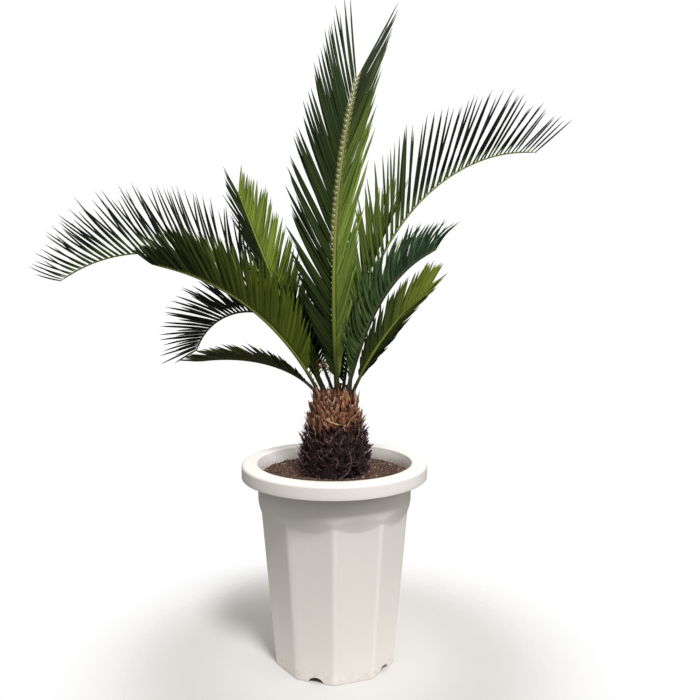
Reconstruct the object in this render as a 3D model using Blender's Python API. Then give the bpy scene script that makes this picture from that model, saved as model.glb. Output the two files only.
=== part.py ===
"""A sago palm in a plastic pot: a ten-sided pot, its soil, a short scaly trunk and ten fronds."""

import math
from collections import namedtuple

import bmesh
import bpy
import numpy as np

for old in list(bpy.data.objects):
    bpy.data.objects.remove(old, do_unlink=True)

# Driving dimensions, in metres and degrees. The origin is the centre of the pot's foot,
# +Z is up and the plant's front faces -Y.

CLEARANCE = 0.0003

POT_HEIGHT = 0.2935
RIM_RADIUS = 0.135
RIM_OPENING_RADIUS = 0.112
RIM_FACE_HEIGHT = 0.0205
RIM_EDGE_ROUND = 0.0045
SHELL_THICKNESS = 0.003
BAND_RADIUS_TOP = 0.1123
BAND_RADIUS_FOOT = 0.1112
BODY_CORNER_RADIUS_TOP = 0.1092
BODY_CORNER_RADIUS_FOOT = 0.090
POT_SIDES = 10
POT_STEPS_PER_SIDE = 4
# The flat facets end at this height. From there a short slope leads out to the round band.
FACET_HEIGHT = 0.2225
SHOULDER_HEIGHTS = (0.2270, 0.2310, 0.2355, 0.2405)
SHOULDER_SLOPE = 0.45
NOTCH_COUNT = 5
NOTCH_WIDTH = 0.022
NOTCH_HEIGHT = 0.008
NOTCH_FIRST_ANGLE = 270 - 18
NOTCH_INNER_RADIUS = 0.074

SOIL_HEIGHT = 0.2775
SOIL_FLAT_RADIUS = 0.060
SOIL_BROW_RADIUS = 0.082
SOIL_BROW_DROP = 0.001
SOIL_EDGE_DROP = 0.003

TRUNK_ROOT_RADIUS = 0.038
TRUNK_ROOT_DEPTH = 0.060
TRUNK_FOOT_RADIUS = 0.0465
TRUNK_CROWN_RADIUS = 0.030
# The stem narrows between these shares of its height.
TRUNK_NARROWS_FROM = 0.20
TRUNK_NARROWS_TO = 0.82
CROWN_HEIGHT = 0.392
STUB_COLUMNS = 22
STUB_ROWS = 12
STUB_REACH = 0.0062
STUB_LIFT = 0.0100
STUB_UNEVENNESS = 0.22
STUB_TOP_ABOVE_CROWN = 0.007

PETIOLE_DEPTH = 0.009
PETIOLE_WIDTH = 0.0062
HOLE_REACH_ABOVE = 0.030
RIB_STEPS = 80
RIB_WIDTH_TIP = 0.0024
RIB_HEIGHT_SHARE = 0.85
# The share of the rib that stays bare at its root, and the leaflets' lengths past it.
BARE_PETIOLE = 0.16
LEAF_SHARE_AT = (0.0, 0.06, 0.2, 0.45, 0.7, 1.0)
LEAF_SHARE = (0.30, 0.55, 0.85, 1.0, 0.97)
# A blade has two bends between its root and its tip, each with a width as a share of the
# space between neighbours, and a thickness.
BEND_PLACES = (0.4, 0.8)
BEND_WIDTHS = (0.72, 0.44)
BEND_THICKNESSES = (0.0011, 0.0009)
# A leaflet that would come this near another frond's is bent aside or, failing that, shortened.
BLADE_CLEAR = 0.0080
BENT_ASIDE = (0, 14, -14, 28, -28)
SHORTENED = (1.0, 0.8, 0.62, 0.45, 0.3)


# The materials, one for each sort of piece.

def plain_material(name, colour, roughness):
    material = bpy.data.materials.new(name)
    material.use_nodes = True
    shader = material.node_tree.nodes["Principled BSDF"]
    shader.inputs["Base Color"].default_value = (*colour, 1.0)
    shader.inputs["Roughness"].default_value = roughness
    shader.inputs["Metallic"].default_value = 0.0
    return material


def add_piece(name, points, faces, material=None):
    """One closed piece from its corners and faces, turned outwards."""
    mesh = bpy.data.meshes.new(name)
    mesh.from_pydata([tuple(point) for point in points], [], faces)
    shell = bmesh.new()
    shell.from_mesh(mesh)
    bmesh.ops.recalc_face_normals(shell, faces=shell.faces)
    shell.to_mesh(mesh)
    shell.free()
    if material is not None:
        mesh.materials.append(material)
    piece = bpy.data.objects.new(name, mesh)
    bpy.context.scene.collection.objects.link(piece)
    return piece


def ring_faces(ring_starts, count):
    """Quads between neighbouring rings of count points each."""
    faces = []
    for low, high in zip(ring_starts[:-1], ring_starts[1:]):
        for step in range(count):
            after = (step + 1) % count
            faces.append((low + step, low + after, high + after, high + step))
    return faces


def cut_from(piece, cutter):
    """Takes a cutter's shape out of a piece. The cutter stays in the file as a hidden guide."""
    cutter.hide_render = True
    cutter.display_type = "WIRE"
    cut = piece.modifiers.new("cut " + cutter.name, "BOOLEAN")
    cut.operation = "DIFFERENCE"
    cut.solver = "EXACT"
    cut.object = cutter


# The pot. Ten flat facets widen from the foot to a sloped shoulder, which meets a round band
# under the rim in ten low arches. The rim is a rolled lip with a hollow underside.

def pot_band_radius(height):
    share = (height - FACET_HEIGHT) / (POT_HEIGHT - FACET_HEIGHT)
    return BAND_RADIUS_FOOT + (BAND_RADIUS_TOP - BAND_RADIUS_FOOT) * share


def pot_facet_distance(height):
    """How far the middle of a facet, or of the shoulder above it, lies from the pot's axis."""
    share = min(height / FACET_HEIGHT, 1.0)
    corner = BODY_CORNER_RADIUS_FOOT + (BODY_CORNER_RADIUS_TOP - BODY_CORNER_RADIUS_FOOT) * share
    shoulder = max(height - FACET_HEIGHT, 0.0) * SHOULDER_SLOPE
    return corner * math.cos(math.pi / POT_SIDES) + shoulder


def pot_wall_radius(height, angle):
    """The outer wall's radius: the round band, or a facet where that lies deeper."""
    half_side = math.pi / POT_SIDES
    front_corner = math.radians(270)
    turn = (angle - front_corner) % (2 * half_side) - half_side
    return min(pot_band_radius(height), pot_facet_distance(height) / math.cos(turn))


def pot_inner_radius(height):
    """The round inside of the shell, which follows the facets and then the band."""
    facets = pot_facet_distance(min(height, FACET_HEIGHT)) - SHELL_THICKNESS
    band = pot_band_radius(POT_HEIGHT) - SHELL_THICKNESS
    share = (height - FACET_HEIGHT) / (SHOULDER_HEIGHTS[-1] - FACET_HEIGHT)
    return facets + (band - facets) * max(0.0, min(share, 1.0))


def pot_profile():
    """(height, radius or None) round the shell's section; None takes the faceted wall's radius."""
    face_foot = POT_HEIGHT - RIM_FACE_HEIGHT
    lip = RIM_EDGE_ROUND
    skirt = RIM_RADIUS - SHELL_THICKNESS
    shoulder = SHOULDER_HEIGHTS[-1]
    profile = [(height, None) for height in (0.0, FACET_HEIGHT, *SHOULDER_HEIGHTS)]
    profile += [
        (POT_HEIGHT - SHELL_THICKNESS, pot_band_radius(POT_HEIGHT)),
        (POT_HEIGHT - SHELL_THICKNESS, skirt),
        (face_foot, skirt),
        (face_foot, RIM_RADIUS - 0.001),
        (face_foot + 0.001, RIM_RADIUS),
    ]
    for step in range(3):
        turn = math.radians(45 * step)
        radius = RIM_RADIUS - lip + lip * math.cos(turn)
        profile.append((POT_HEIGHT - lip + lip * math.sin(turn), radius))
    profile += [
        (POT_HEIGHT, RIM_OPENING_RADIUS + 0.002),
        (POT_HEIGHT - 0.002, RIM_OPENING_RADIUS),
        (POT_HEIGHT - 0.006, pot_inner_radius(POT_HEIGHT)),
        (shoulder, pot_inner_radius(shoulder)),
        (FACET_HEIGHT, pot_inner_radius(FACET_HEIGHT)),
        (SHELL_THICKNESS, pot_inner_radius(SHELL_THICKNESS)),
    ]
    return profile


def make_pot():
    count = POT_SIDES * POT_STEPS_PER_SIDE
    angles = [2 * math.pi * step / count for step in range(count)]
    points, starts = [], []
    for height, radius in pot_profile():
        starts.append(len(points))
        for angle in angles:
            reach = pot_wall_radius(height, angle) if radius is None else radius
            points.append((reach * math.cos(angle), reach * math.sin(angle), height))
    faces = ring_faces(starts, count)
    faces.append(tuple(reversed(range(starts[0], starts[0] + count))))
    faces.append(tuple(range(starts[-1], starts[-1] + count)))
    pot = add_piece("pot", points, faces, plain_material("pot_plastic", (0.78, 0.76, 0.71), 0.42))
    for notch in range(NOTCH_COUNT):
        cut_from(pot, notch_cutter(notch))
    return pot


def notch_cutter(index):
    """A low arch that runs in from the wall's foot, through the wall and the floor's edge."""
    angle = math.radians(NOTCH_FIRST_ANGLE + index * 360 / NOTCH_COUNT)
    outline = [(-NOTCH_WIDTH / 2, -0.002)]
    for step in range(7):
        turn = math.pi - math.pi * step / 6
        outline.append((NOTCH_WIDTH / 2 * math.cos(turn), NOTCH_HEIGHT * math.sin(turn)))
    outline.append((NOTCH_WIDTH / 2, -0.002))
    points = []
    for reach in (NOTCH_INNER_RADIUS, BAND_RADIUS_TOP):
        for across, up in outline:
            x = reach * math.cos(angle) - across * math.sin(angle)
            y = reach * math.sin(angle) + across * math.cos(angle)
            points.append((x, y, up))
    count = len(outline)
    faces = ring_faces([0, count], count)
    faces.append(tuple(range(count)))
    faces.append(tuple(reversed(range(count, 2 * count))))
    return add_piece(f"notch_cutter_{index + 1}", points, faces)


# The soil fills the pot to a finger's breadth below the rim, with a hole for the root end.

def make_soil():
    count = POT_SIDES * POT_STEPS_PER_SIDE
    hole = TRUNK_ROOT_RADIUS + CLEARANCE
    edge_height = SOIL_HEIGHT - SOIL_EDGE_DROP
    floor_height = SHELL_THICKNESS + CLEARANCE
    # A flat stretch between two wall corners lies nearer the centre than the corners do.
    inset = CLEARANCE / math.cos(math.pi / count)
    profile = [
        (floor_height, pot_inner_radius(floor_height) - inset),
        (FACET_HEIGHT, pot_inner_radius(FACET_HEIGHT) - inset),
        (SHOULDER_HEIGHTS[-1], pot_inner_radius(SHOULDER_HEIGHTS[-1]) - inset),
        (edge_height, pot_inner_radius(edge_height) - inset),
        (SOIL_HEIGHT - SOIL_BROW_DROP, SOIL_BROW_RADIUS),
        (SOIL_HEIGHT, SOIL_FLAT_RADIUS),
        (SOIL_HEIGHT, hole),
        (SOIL_HEIGHT - TRUNK_ROOT_DEPTH - CLEARANCE, hole),
    ]
    points, starts = [], []
    for height, radius in profile:
        starts.append(len(points))
        for step in range(count):
            angle = 2 * math.pi * step / count
            points.append((radius * math.cos(angle), radius * math.sin(angle), height))
    faces = ring_faces(starts, count)
    faces.append(tuple(reversed(range(starts[0], starts[0] + count))))
    faces.append(tuple(range(starts[-1], starts[-1] + count)))
    return add_piece("soil", points, faces, plain_material("potting_soil", (0.06, 0.04, 0.03), 0.95))


# The trunk. Leaf stubs cover it as a staggered net of four-cornered cells, each drawn out
# to a point that leans up.

def trunk_radius(height):
    """Radius of the stem under the stubs: straight low down, drawn in, and straight at the top."""
    rise = (height - SOIL_HEIGHT) / (CROWN_HEIGHT - SOIL_HEIGHT)
    share = (rise - TRUNK_NARROWS_FROM) / (TRUNK_NARROWS_TO - TRUNK_NARROWS_FROM)
    drawn_in = max(0.0, min(1.0, share)) ** 1.15
    return TRUNK_FOOT_RADIUS + (TRUNK_CROWN_RADIUS - TRUNK_FOOT_RADIUS) * drawn_in


def on_trunk(radius, turn, height):
    return (radius * math.cos(turn), radius * math.sin(turn), height)


def make_trunk():
    foot = SOIL_HEIGHT + CLEARANCE
    row_height = (CROWN_HEIGHT - 0.002 - foot) / (STUB_ROWS + 1)
    half_column = math.pi / STUB_COLUMNS
    points, net = [], []
    for row in range(STUB_ROWS + 2):
        height = foot + row * row_height
        net.append(len(points))
        for column in range(STUB_COLUMNS):
            turn = (2 * column + row % 2) * half_column
            points.append(on_trunk(trunk_radius(height), turn, height))

    def corner(row, column):
        return net[row] + column % STUB_COLUMNS

    faces = []
    for row in range(STUB_ROWS):
        for column in range(STUB_COLUMNS):
            shift = row % 2
            low = corner(row, column)
            left = corner(row + 1, column - 1 + shift)
            right = corner(row + 1, column + shift)
            high = corner(row + 2, column)
            height = foot + (row + 1) * row_height
            turn = (2 * column + row % 2) * half_column
            # Stubs differ a little in reach, in a pattern that never lines up with the rows.
            uneven = 1 + STUB_UNEVENNESS * math.sin(5.1 * column + 2.3 * row)
            point_height = min(height + STUB_LIFT * uneven, CROWN_HEIGHT + STUB_TOP_ABOVE_CROWN)
            reach = trunk_radius(height) + STUB_REACH * uneven
            points.append(on_trunk(reach, turn, point_height))
            tip = len(points) - 1
            faces += [(low, right, tip), (right, high, tip), (high, left, tip), (left, low, tip)]

    # The half cells at the foot and at the crown stay flat.
    for column in range(STUB_COLUMNS):
        faces.append((corner(0, column), corner(0, column + 1), corner(1, column)))
        top = STUB_ROWS + 1
        shift = top % 2
        faces.append((corner(top, column), corner(top, column + 1), corner(top - 1, column + shift)))

    crown = [corner(STUB_ROWS + 1, column) for column in range(STUB_COLUMNS)]
    for reach, height in ((0.97, CROWN_HEIGHT), (0.5, CROWN_HEIGHT + 0.001)):
        start = len(points)
        for column in range(STUB_COLUMNS):
            turn = (2 * column + (STUB_ROWS + 1) % 2) * half_column
            points.append(on_trunk(TRUNK_CROWN_RADIUS * reach, turn, height))
        inner = list(range(start, start + STUB_COLUMNS))
        for step in range(STUB_COLUMNS):
            after = (step + 1) % STUB_COLUMNS
            faces.append((crown[step], crown[after], inner[after], inner[step]))
        crown = inner
    faces.append(tuple(crown))

    foot_ring = [corner(0, column) for column in range(STUB_COLUMNS)]
    for radius, height in ((TRUNK_ROOT_RADIUS, foot), (TRUNK_ROOT_RADIUS, SOIL_HEIGHT - TRUNK_ROOT_DEPTH)):
        start = len(points)
        for column in range(STUB_COLUMNS):
            points.append(on_trunk(radius, 2 * column * half_column, height))
        outer = list(range(start, start + STUB_COLUMNS))
        for step in range(STUB_COLUMNS):
            after = (step + 1) % STUB_COLUMNS
            faces.append((foot_ring[after], foot_ring[step], outer[step], outer[after]))
        foot_ring = outer
    faces.append(tuple(reversed(foot_ring)))
    return add_piece("trunk", points, faces, plain_material("stem_bark", (0.16, 0.08, 0.05), 0.85))


# The fronds. A rib leaves the crown and bends over by rule, and pairs of leaflets rise
# from its two sides in a V. Angles are in degrees: heading is the way the frond goes, seen
# from above, anticlockwise from +X. lean is the rib's tilt from upright at its root and arch
# at its tip. swing turns the heading along the rib, roll turns the V about it, and twist turns
# it further near the tip. leaf is the longest leaflet and leaf_tip the share of it at the tip.
# rise is the V's steepness, and fore the angle between a leaflet and the rib ahead of it, which
# is less by the share right_closer on the right half. petiole is the rib's width at its root.

Frond = namedtuple(
    "Frond",
    "name seat_angle seat_radius heading swing lean arch bend length roll twist "
    "leaf leaf_tip rise fore_root fore_tip pairs tone right_closer petiole",
    defaults=(0.0, PETIOLE_WIDTH),
)

DEEP_GREEN = (0.045, 0.100, 0.030)
OLIVE_GREEN = (0.110, 0.160, 0.030)
BRIGHT_GREEN = (0.170, 0.270, 0.045)
BLUE_GREEN = (0.035, 0.095, 0.065)

FRONDS = (
    Frond(
        name="frond_01_tall", seat_angle=300, seat_radius=0.009,
        heading=60, swing=0, lean=-8, arch=26, bend=1.2, length=0.475, roll=22, twist=14,
        leaf=0.140, leaf_tip=0.88, rise=40, fore_root=38, fore_tip=29, pairs=40, tone=DEEP_GREEN,
        right_closer=0.25, petiole=0.0090,
    ),
    Frond(
        name="frond_02_far_left", seat_angle=125, seat_radius=0.024,
        heading=155, swing=0, lean=23, arch=118, bend=0.93, length=0.61, roll=0, twist=0,
        leaf=0.132, leaf_tip=0.62, rise=80, fore_root=56, fore_tip=42, pairs=40, tone=DEEP_GREEN,
    ),
    Frond(
        name="frond_03_left_front", seat_angle=215, seat_radius=0.025,
        heading=203, swing=0, lean=28, arch=80, bend=1.2, length=0.305, roll=0, twist=0,
        leaf=0.092, leaf_tip=0.38, rise=68, fore_root=55, fore_tip=32, pairs=28, tone=OLIVE_GREEN,
        petiole=0.0070,
    ),
    Frond(
        name="frond_04_left_upright", seat_angle=150, seat_radius=0.016,
        heading=180, swing=0, lean=26, arch=20, bend=1.0, length=0.315, roll=-35, twist=0,
        leaf=0.090, leaf_tip=0.50, rise=25, fore_root=48, fore_tip=26, pairs=28, tone=BRIGHT_GREEN,
        petiole=0.0085,
    ),
    Frond(
        name="frond_05_left_low", seat_angle=180, seat_radius=0.026,
        heading=188, swing=0, lean=24, arch=98, bend=0.5, length=0.185, roll=0, twist=0,
        leaf=0.052, leaf_tip=0.60, rise=50, fore_root=34, fore_tip=18, pairs=18, tone=DEEP_GREEN,
    ),
    Frond(
        name="frond_06_left_behind", seat_angle=97, seat_radius=0.015,
        heading=167, swing=0, lean=19, arch=163, bend=1.5, length=0.300, roll=0, twist=0,
        leaf=0.086, leaf_tip=0.70, rise=62, fore_root=62, fore_tip=52, pairs=28, tone=DEEP_GREEN,
    ),
    Frond(
        name="frond_07_far_right", seat_angle=25, seat_radius=0.025,
        heading=22, swing=0, lean=3, arch=90, bend=1.25, length=0.55, roll=0, twist=0,
        leaf=0.144, leaf_tip=0.74, rise=84, fore_root=42, fore_tip=47, pairs=38, tone=DEEP_GREEN,
    ),
    Frond(
        name="frond_08_right_middle", seat_angle=322, seat_radius=0.021,
        heading=354, swing=0, lean=16, arch=66, bend=2.2, length=0.250, roll=0, twist=0,
        leaf=0.078, leaf_tip=0.70, rise=50, fore_root=54, fore_tip=38, pairs=22, tone=BLUE_GREEN,
        petiole=0.0072,
    ),
    Frond(
        name="frond_09_right_low", seat_angle=354, seat_radius=0.0255,
        heading=340, swing=-22, lean=24, arch=52, bend=1.0, length=0.205, roll=60, twist=0,
        leaf=0.068, leaf_tip=0.55, rise=20, fore_root=38, fore_tip=24, pairs=20, tone=OLIVE_GREEN,
    ),
    Frond(
        name="frond_10_behind", seat_angle=60, seat_radius=0.025,
        heading=45, swing=0, lean=10, arch=36, bend=1.0, length=0.295, roll=0, twist=0,
        leaf=0.112, leaf_tip=0.70, rise=50, fore_root=40, fore_tip=18, pairs=24, tone=BRIGHT_GREEN,
    ),
)

Rib = namedtuple("Rib", "along points ahead up across")


def unit(vectors):
    return vectors / np.linalg.norm(vectors, axis=-1, keepdims=True)


def rib_of(frond):
    """The rib's middle line and its frame: ahead along it, up out of its upper face, across."""
    along = np.linspace(0, 1, RIB_STEPS + 1)
    lean = np.radians(frond.lean + (frond.arch - frond.lean) * along ** frond.bend)
    heading = np.radians(frond.heading + frond.swing * along ** 1.3)
    out = np.stack([np.cos(heading), np.sin(heading), np.zeros_like(heading)], -1)
    above = np.array([0.0, 0.0, 1.0])
    ahead = np.sin(lean)[:, None] * out + np.cos(lean)[:, None] * above
    up = np.sin(lean)[:, None] * above - np.cos(lean)[:, None] * out
    across = np.cross(ahead, up)
    roll = np.radians(frond.roll + frond.twist * along ** 3)[:, None]
    turned_up = up * np.cos(roll) + across * np.sin(roll)
    turned_across = across * np.cos(roll) - up * np.sin(roll)
    seat = math.radians(frond.seat_angle)
    root = np.array(on_trunk(frond.seat_radius, seat, CROWN_HEIGHT))
    steps = (ahead[1:] + ahead[:-1]) / 2 * frond.length / RIB_STEPS
    points = root + np.concatenate([np.zeros((1, 3)), np.cumsum(steps, axis=0)])
    return Rib(along, points, ahead, turned_up, turned_across)


def at(rib, values, place):
    return np.array([np.interp(place, rib.along, values[:, axis]) for axis in range(3)])


def rib_width(frond, place):
    return frond.petiole + (RIB_WIDTH_TIP - frond.petiole) * max(place, 0.0) ** 0.7


def leaflet_line(frond, rib, place, side, lift, share):
    """A leaflet's root, two bends and tip."""
    how_far = (place - BARE_PETIOLE) / (1 - BARE_PETIOLE)
    ahead = at(rib, rib.ahead, place)
    up = at(rib, rib.up, place)
    across = at(rib, rib.across, place)
    fore = math.radians(frond.fore_root + (frond.fore_tip - frond.fore_root) * how_far)
    if side > 0:
        fore = fore * (1 - frond.right_closer)
    rise = math.radians(frond.rise + lift)
    out = math.cos(rise) * side * across + math.sin(rise) * up
    direction = math.cos(fore) * ahead + math.sin(fore) * out
    length = frond.leaf * share * np.interp(how_far, LEAF_SHARE_AT, (*LEAF_SHARE, frond.leaf_tip))
    root = at(rib, rib.points, place) + side * across * rib_width(frond, place) / 2
    return [root + direction * length * part for part in (0.0, *BEND_PLACES, 1.0)]


def segment_gap(start_a, end_a, starts, ends):
    """The least distance between one straight piece and many others."""
    line_a = end_a - start_a
    lines = ends - starts
    between = start_a - starts
    aa = line_a @ line_a
    bb = np.einsum("ij,ij->i", lines, lines)
    ab = lines @ line_a
    a0 = between @ line_a
    b0 = np.einsum("ij,ij->i", lines, between)
    spread = aa * bb - ab * ab
    on_a = np.clip(np.where(spread > 1e-15, (ab * b0 - a0 * bb) / np.maximum(spread, 1e-15), 0), 0, 1)
    on_b = np.clip((ab * on_a + b0) / bb, 0, 1)
    on_a = np.clip((ab * on_b - a0) / aa, 0, 1)
    nearest = start_a + on_a[:, None] * line_a - starts - on_b[:, None] * lines
    return np.linalg.norm(nearest, axis=1).min()


def pieces_of(line):
    return [(np.asarray(a), np.asarray(b)) for a, b in zip(line[:-1], line[1:])]


def is_clear(line, obstacles):
    if not obstacles:
        return True
    starts = np.array([start for start, _ in obstacles])
    ends = np.array([end for _, end in obstacles])
    return all(segment_gap(a, b, starts, ends) > BLADE_CLEAR for a, b in pieces_of(line))


def clear_leaflet(frond, rib, place, side, obstacles):
    """The leaflet at its full length, or bent aside or shortened until it meets no other frond."""
    for share in SHORTENED:
        for lift in BENT_ASIDE:
            line = leaflet_line(frond, rib, place, side, lift, share)
            if is_clear(line, obstacles):
                return line
    return None


def frond_mesh(frond, rib, obstacles):
    """Corners and faces of one frond, and the middle lines of its leaflets."""
    places = BARE_PETIOLE + (1 - BARE_PETIOLE) * np.linspace(0, 1, frond.pairs + 1)
    petiole = np.array([-PETIOLE_DEPTH / frond.length, 0.0, 0.06, 0.11])
    stations = np.concatenate([petiole, places])
    points, faces, lines = [], [], []
    for place in stations:
        held = max(place, 0.0)
        middle = at(rib, rib.points, held) + at(rib, rib.ahead, held) * min(place, 0.0) * frond.length
        up = at(rib, rib.up, held)
        across = at(rib, rib.across, held)
        half = rib_width(frond, held) / 2
        for side, level in ((1, 1), (1, -1), (-1, -1), (-1, 1)):
            points.append(middle + across * half * side + up * half * level * RIB_HEIGHT_SHARE)

    last = 4 * (len(stations) - 1)
    faces.append((0, 1, 2, 3))
    faces.append((last + 3, last + 2, last + 1, last))
    for index in range(len(stations) - 1):
        here = 4 * index
        ahead = here + 4
        faces.append((here + 3, here, ahead, ahead + 3))
        faces.append((here + 1, here + 2, ahead + 2, ahead + 1))
        sides = ((1, (here, here + 1, ahead + 1, ahead)), (-1, (here + 3, here + 2, ahead + 2, ahead + 3)))
        for side, root in sides:
            line = None
            if index >= len(petiole):
                middle = (stations[index] + stations[index + 1]) / 2
                line = clear_leaflet(frond, rib, middle, side, obstacles)
            if line is None:
                faces.append(root)
                continue
            lines.append(line)
            pitch = frond.length * (stations[index + 1] - stations[index])
            add_blade(points, faces, root, line, at(rib, rib.ahead, middle), side, pitch)
    return points, faces, lines


def add_blade(points, faces, root, line, ahead, side, pitch):
    """A flat pointed blade that grows out of one side of the rib."""
    direction = unit(line[1] - line[0])
    flat = -side * unit(np.cross(ahead, direction))
    ring = root
    for middle, width, thickness in zip(line[1:3], BEND_WIDTHS, BEND_THICKNESSES):
        start = len(points)
        for forward, level in ((-1, 1), (-1, -1), (1, -1), (1, 1)):
            along = ahead * forward * width * pitch / 2
            points.append(middle + along + flat * level * thickness / 2)
        fresh = (start, start + 1, start + 2, start + 3)
        for step in range(4):
            after = (step + 1) % 4
            faces.append((ring[step], ring[after], fresh[after], fresh[step]))
        ring = fresh
    points.append(line[3])
    tip = len(points) - 1
    for step in range(4):
        faces.append((ring[step], ring[(step + 1) % 4], tip))


def petiole_cutter(frond, rib):
    """The petiole's own section, a little larger, from under its end to above the crown."""
    ahead, up, across = rib.ahead[0], rib.up[0], rib.across[0]
    half = frond.petiole / 2 + CLEARANCE
    half_height = half * RIB_HEIGHT_SHARE + CLEARANCE / 2
    points = []
    for reach in (-PETIOLE_DEPTH - CLEARANCE, HOLE_REACH_ABOVE):
        middle = rib.points[0] + ahead * reach
        for side, level in ((1, 1), (1, -1), (-1, -1), (-1, 1)):
            points.append(middle + across * half * side + up * level * half_height)
    faces = ring_faces([0, 4], 4) + [(0, 1, 2, 3), (7, 6, 5, 4)]
    return add_piece("hole_for_" + frond.name, points, faces)


def make_fronds(trunk):
    ribs = [rib_of(frond) for frond in FRONDS]
    coarse = slice(None, None, 4)
    rib_lines = [pieces_of(rib.points[coarse]) for rib in ribs]
    grown = []
    for index, (frond, rib) in enumerate(zip(FRONDS, ribs)):
        obstacles = [piece for other, line in enumerate(rib_lines) if other != index for piece in line]
        obstacles += [piece for line in grown for piece in pieces_of(line)]
        points, faces, lines = frond_mesh(frond, rib, obstacles)
        grown += lines
        add_piece(frond.name, points, faces, plain_material(frond.name + "_green", frond.tone, 0.45))
        cut_from(trunk, petiole_cutter(frond, rib))


make_pot()
make_soil()
make_fronds(make_trunk())
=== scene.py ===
import math

import bmesh
import bpy
import numpy as np
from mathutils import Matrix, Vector, noise


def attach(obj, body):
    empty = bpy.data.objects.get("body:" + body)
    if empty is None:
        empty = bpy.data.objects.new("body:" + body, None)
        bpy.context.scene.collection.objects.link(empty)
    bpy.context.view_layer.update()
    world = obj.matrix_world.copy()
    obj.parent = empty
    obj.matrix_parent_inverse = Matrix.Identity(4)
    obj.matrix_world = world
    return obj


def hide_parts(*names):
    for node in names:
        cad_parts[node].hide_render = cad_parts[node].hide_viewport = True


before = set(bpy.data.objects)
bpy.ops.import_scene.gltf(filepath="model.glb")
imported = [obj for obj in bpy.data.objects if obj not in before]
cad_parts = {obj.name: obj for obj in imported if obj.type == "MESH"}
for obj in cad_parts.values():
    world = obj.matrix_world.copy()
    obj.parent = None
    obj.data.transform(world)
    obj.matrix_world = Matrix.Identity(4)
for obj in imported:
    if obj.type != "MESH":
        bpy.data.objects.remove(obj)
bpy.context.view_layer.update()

# The pot is one injection-moulded shell of off-white satin plastic. Ten flat facets widen up to
# a sloped shoulder under a round band, and a wide lip is rolled over at the top. Five low
# arches at the foot let water out.

POT_HEIGHT = 0.2935
RIM_RADIUS = 0.135
RIM_OPENING_RADIUS = 0.112
RIM_FACE_HEIGHT = 0.0205
RIM_EDGE_ROUND = 0.0045
RIM_MOUTH_ROUND = 0.0025
RIM_FOOT_ROUND = 0.0012
RIM_HOLLOW_ROUND = 0.002
SHELL_THICKNESS = 0.003
BAND_RADIUS_TOP = 0.1123
BAND_RADIUS_FOOT = 0.1112
BODY_CORNER_RADIUS_TOP = 0.1092
BODY_CORNER_RADIUS_FOOT = 0.090
POT_SIDES = 10
FACET_HEIGHT = 0.2225
SHOULDER_TOP = 0.2405
SHOULDER_SLOPE = 0.36
# The slope starts lower in a facet's middle than at FACET_HEIGHT, and higher towards its corners.
SHOULDER_DIP = 0.0032
SHOULDER_ARCH = 0.0079
SHOULDER_SOFTNESS = 0.002
CORNER_BLEND = 0.0034
SHOULDER_BLEND = 0.0012
FOOT_ROUND = 0.0012
NOTCH_COUNT = 5
NOTCH_WIDTH = 0.022
NOTCH_HEIGHT = 0.008
NOTCH_FIRST_ANGLE = 270 - 18
NOTCH_INNER_RADIUS = 0.074
SHARP_FROM = 35
# Where the wall's upright lines stand on one facet, in degrees from its middle. The line at 18
# is the first one of the next facet.
FACET_LINES = (-18, -17.6, -17.2, -16.7, -16, -15, -13.5, -12, -10, -8, -6, -4, -2,
               0, 2, 4, 6, 8, 10, 12, 13.5, 15, 16, 16.7, 17.2, 17.6)


def band_radius(height):
    """The round band's radius, which widens a little towards the lip."""
    share = (height - FACET_HEIGHT) / (POT_HEIGHT - FACET_HEIGHT)
    return BAND_RADIUS_FOOT + (BAND_RADIUS_TOP - BAND_RADIUS_FOOT) * share


def facet_distance(height):
    """How far a facet's middle line lies from the pot's axis."""
    share = min(height / FACET_HEIGHT, 1.0)
    corner = BODY_CORNER_RADIUS_FOOT + (BODY_CORNER_RADIUS_TOP - BODY_CORNER_RADIUS_FOOT) * share
    return corner * math.cos(math.pi / POT_SIDES)


def eased_min(first, second, blend):
    """The lesser of two values, with the change from one to the other rounded off."""
    share = max(0.0, min(1.0, 0.5 + 0.5 * (second - first) / blend))
    return second + (first - second) * share - blend * share * (1 - share)


def wall_radius(height, angle):
    """The outer wall's radius: flat facets with rounded corners, each facet with a slope shaped like
    a lens at its top, and the round band, whichever lies further in."""
    half_side = math.pi / POT_SIDES
    turn = (angle - math.radians(270)) % (2 * half_side) - half_side
    rise = height - FACET_HEIGHT + SHOULDER_DIP - SHOULDER_ARCH * (abs(turn) / half_side) ** 2
    distance = facet_distance(height) + SHOULDER_SLOPE * (rise + math.hypot(rise, SHOULDER_SOFTNESS)) / 2
    here = distance / math.cos(turn)
    beyond = distance / math.cos(2 * half_side - abs(turn))
    facets = eased_min(here, beyond, CORNER_BLEND)
    drawn_in = max(0.0, 1 - height / FOOT_ROUND)
    inset = FOOT_ROUND * (1 - math.sqrt(1 - drawn_in ** 2))
    return eased_min(band_radius(height), facets, SHOULDER_BLEND) - inset


def inner_radius(height):
    """The round inner wall's radius."""
    facets = facet_distance(min(height, FACET_HEIGHT)) - SHELL_THICKNESS
    band = band_radius(POT_HEIGHT) - SHELL_THICKNESS
    share = (height - FACET_HEIGHT) / (SHOULDER_TOP - FACET_HEIGHT)
    return facets + (band - facets) * max(0.0, min(share, 1.0))


def arc(centre_height, centre_radius, size, first, last, steps):
    """Points of a round edge in the shell's section, as (height, radius), with turns in degrees."""
    turns = [math.radians(first + (last - first) * step / steps) for step in range(steps + 1)]
    return [(centre_height + size * math.sin(t), centre_radius + size * math.cos(t)) for t in turns]


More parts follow.
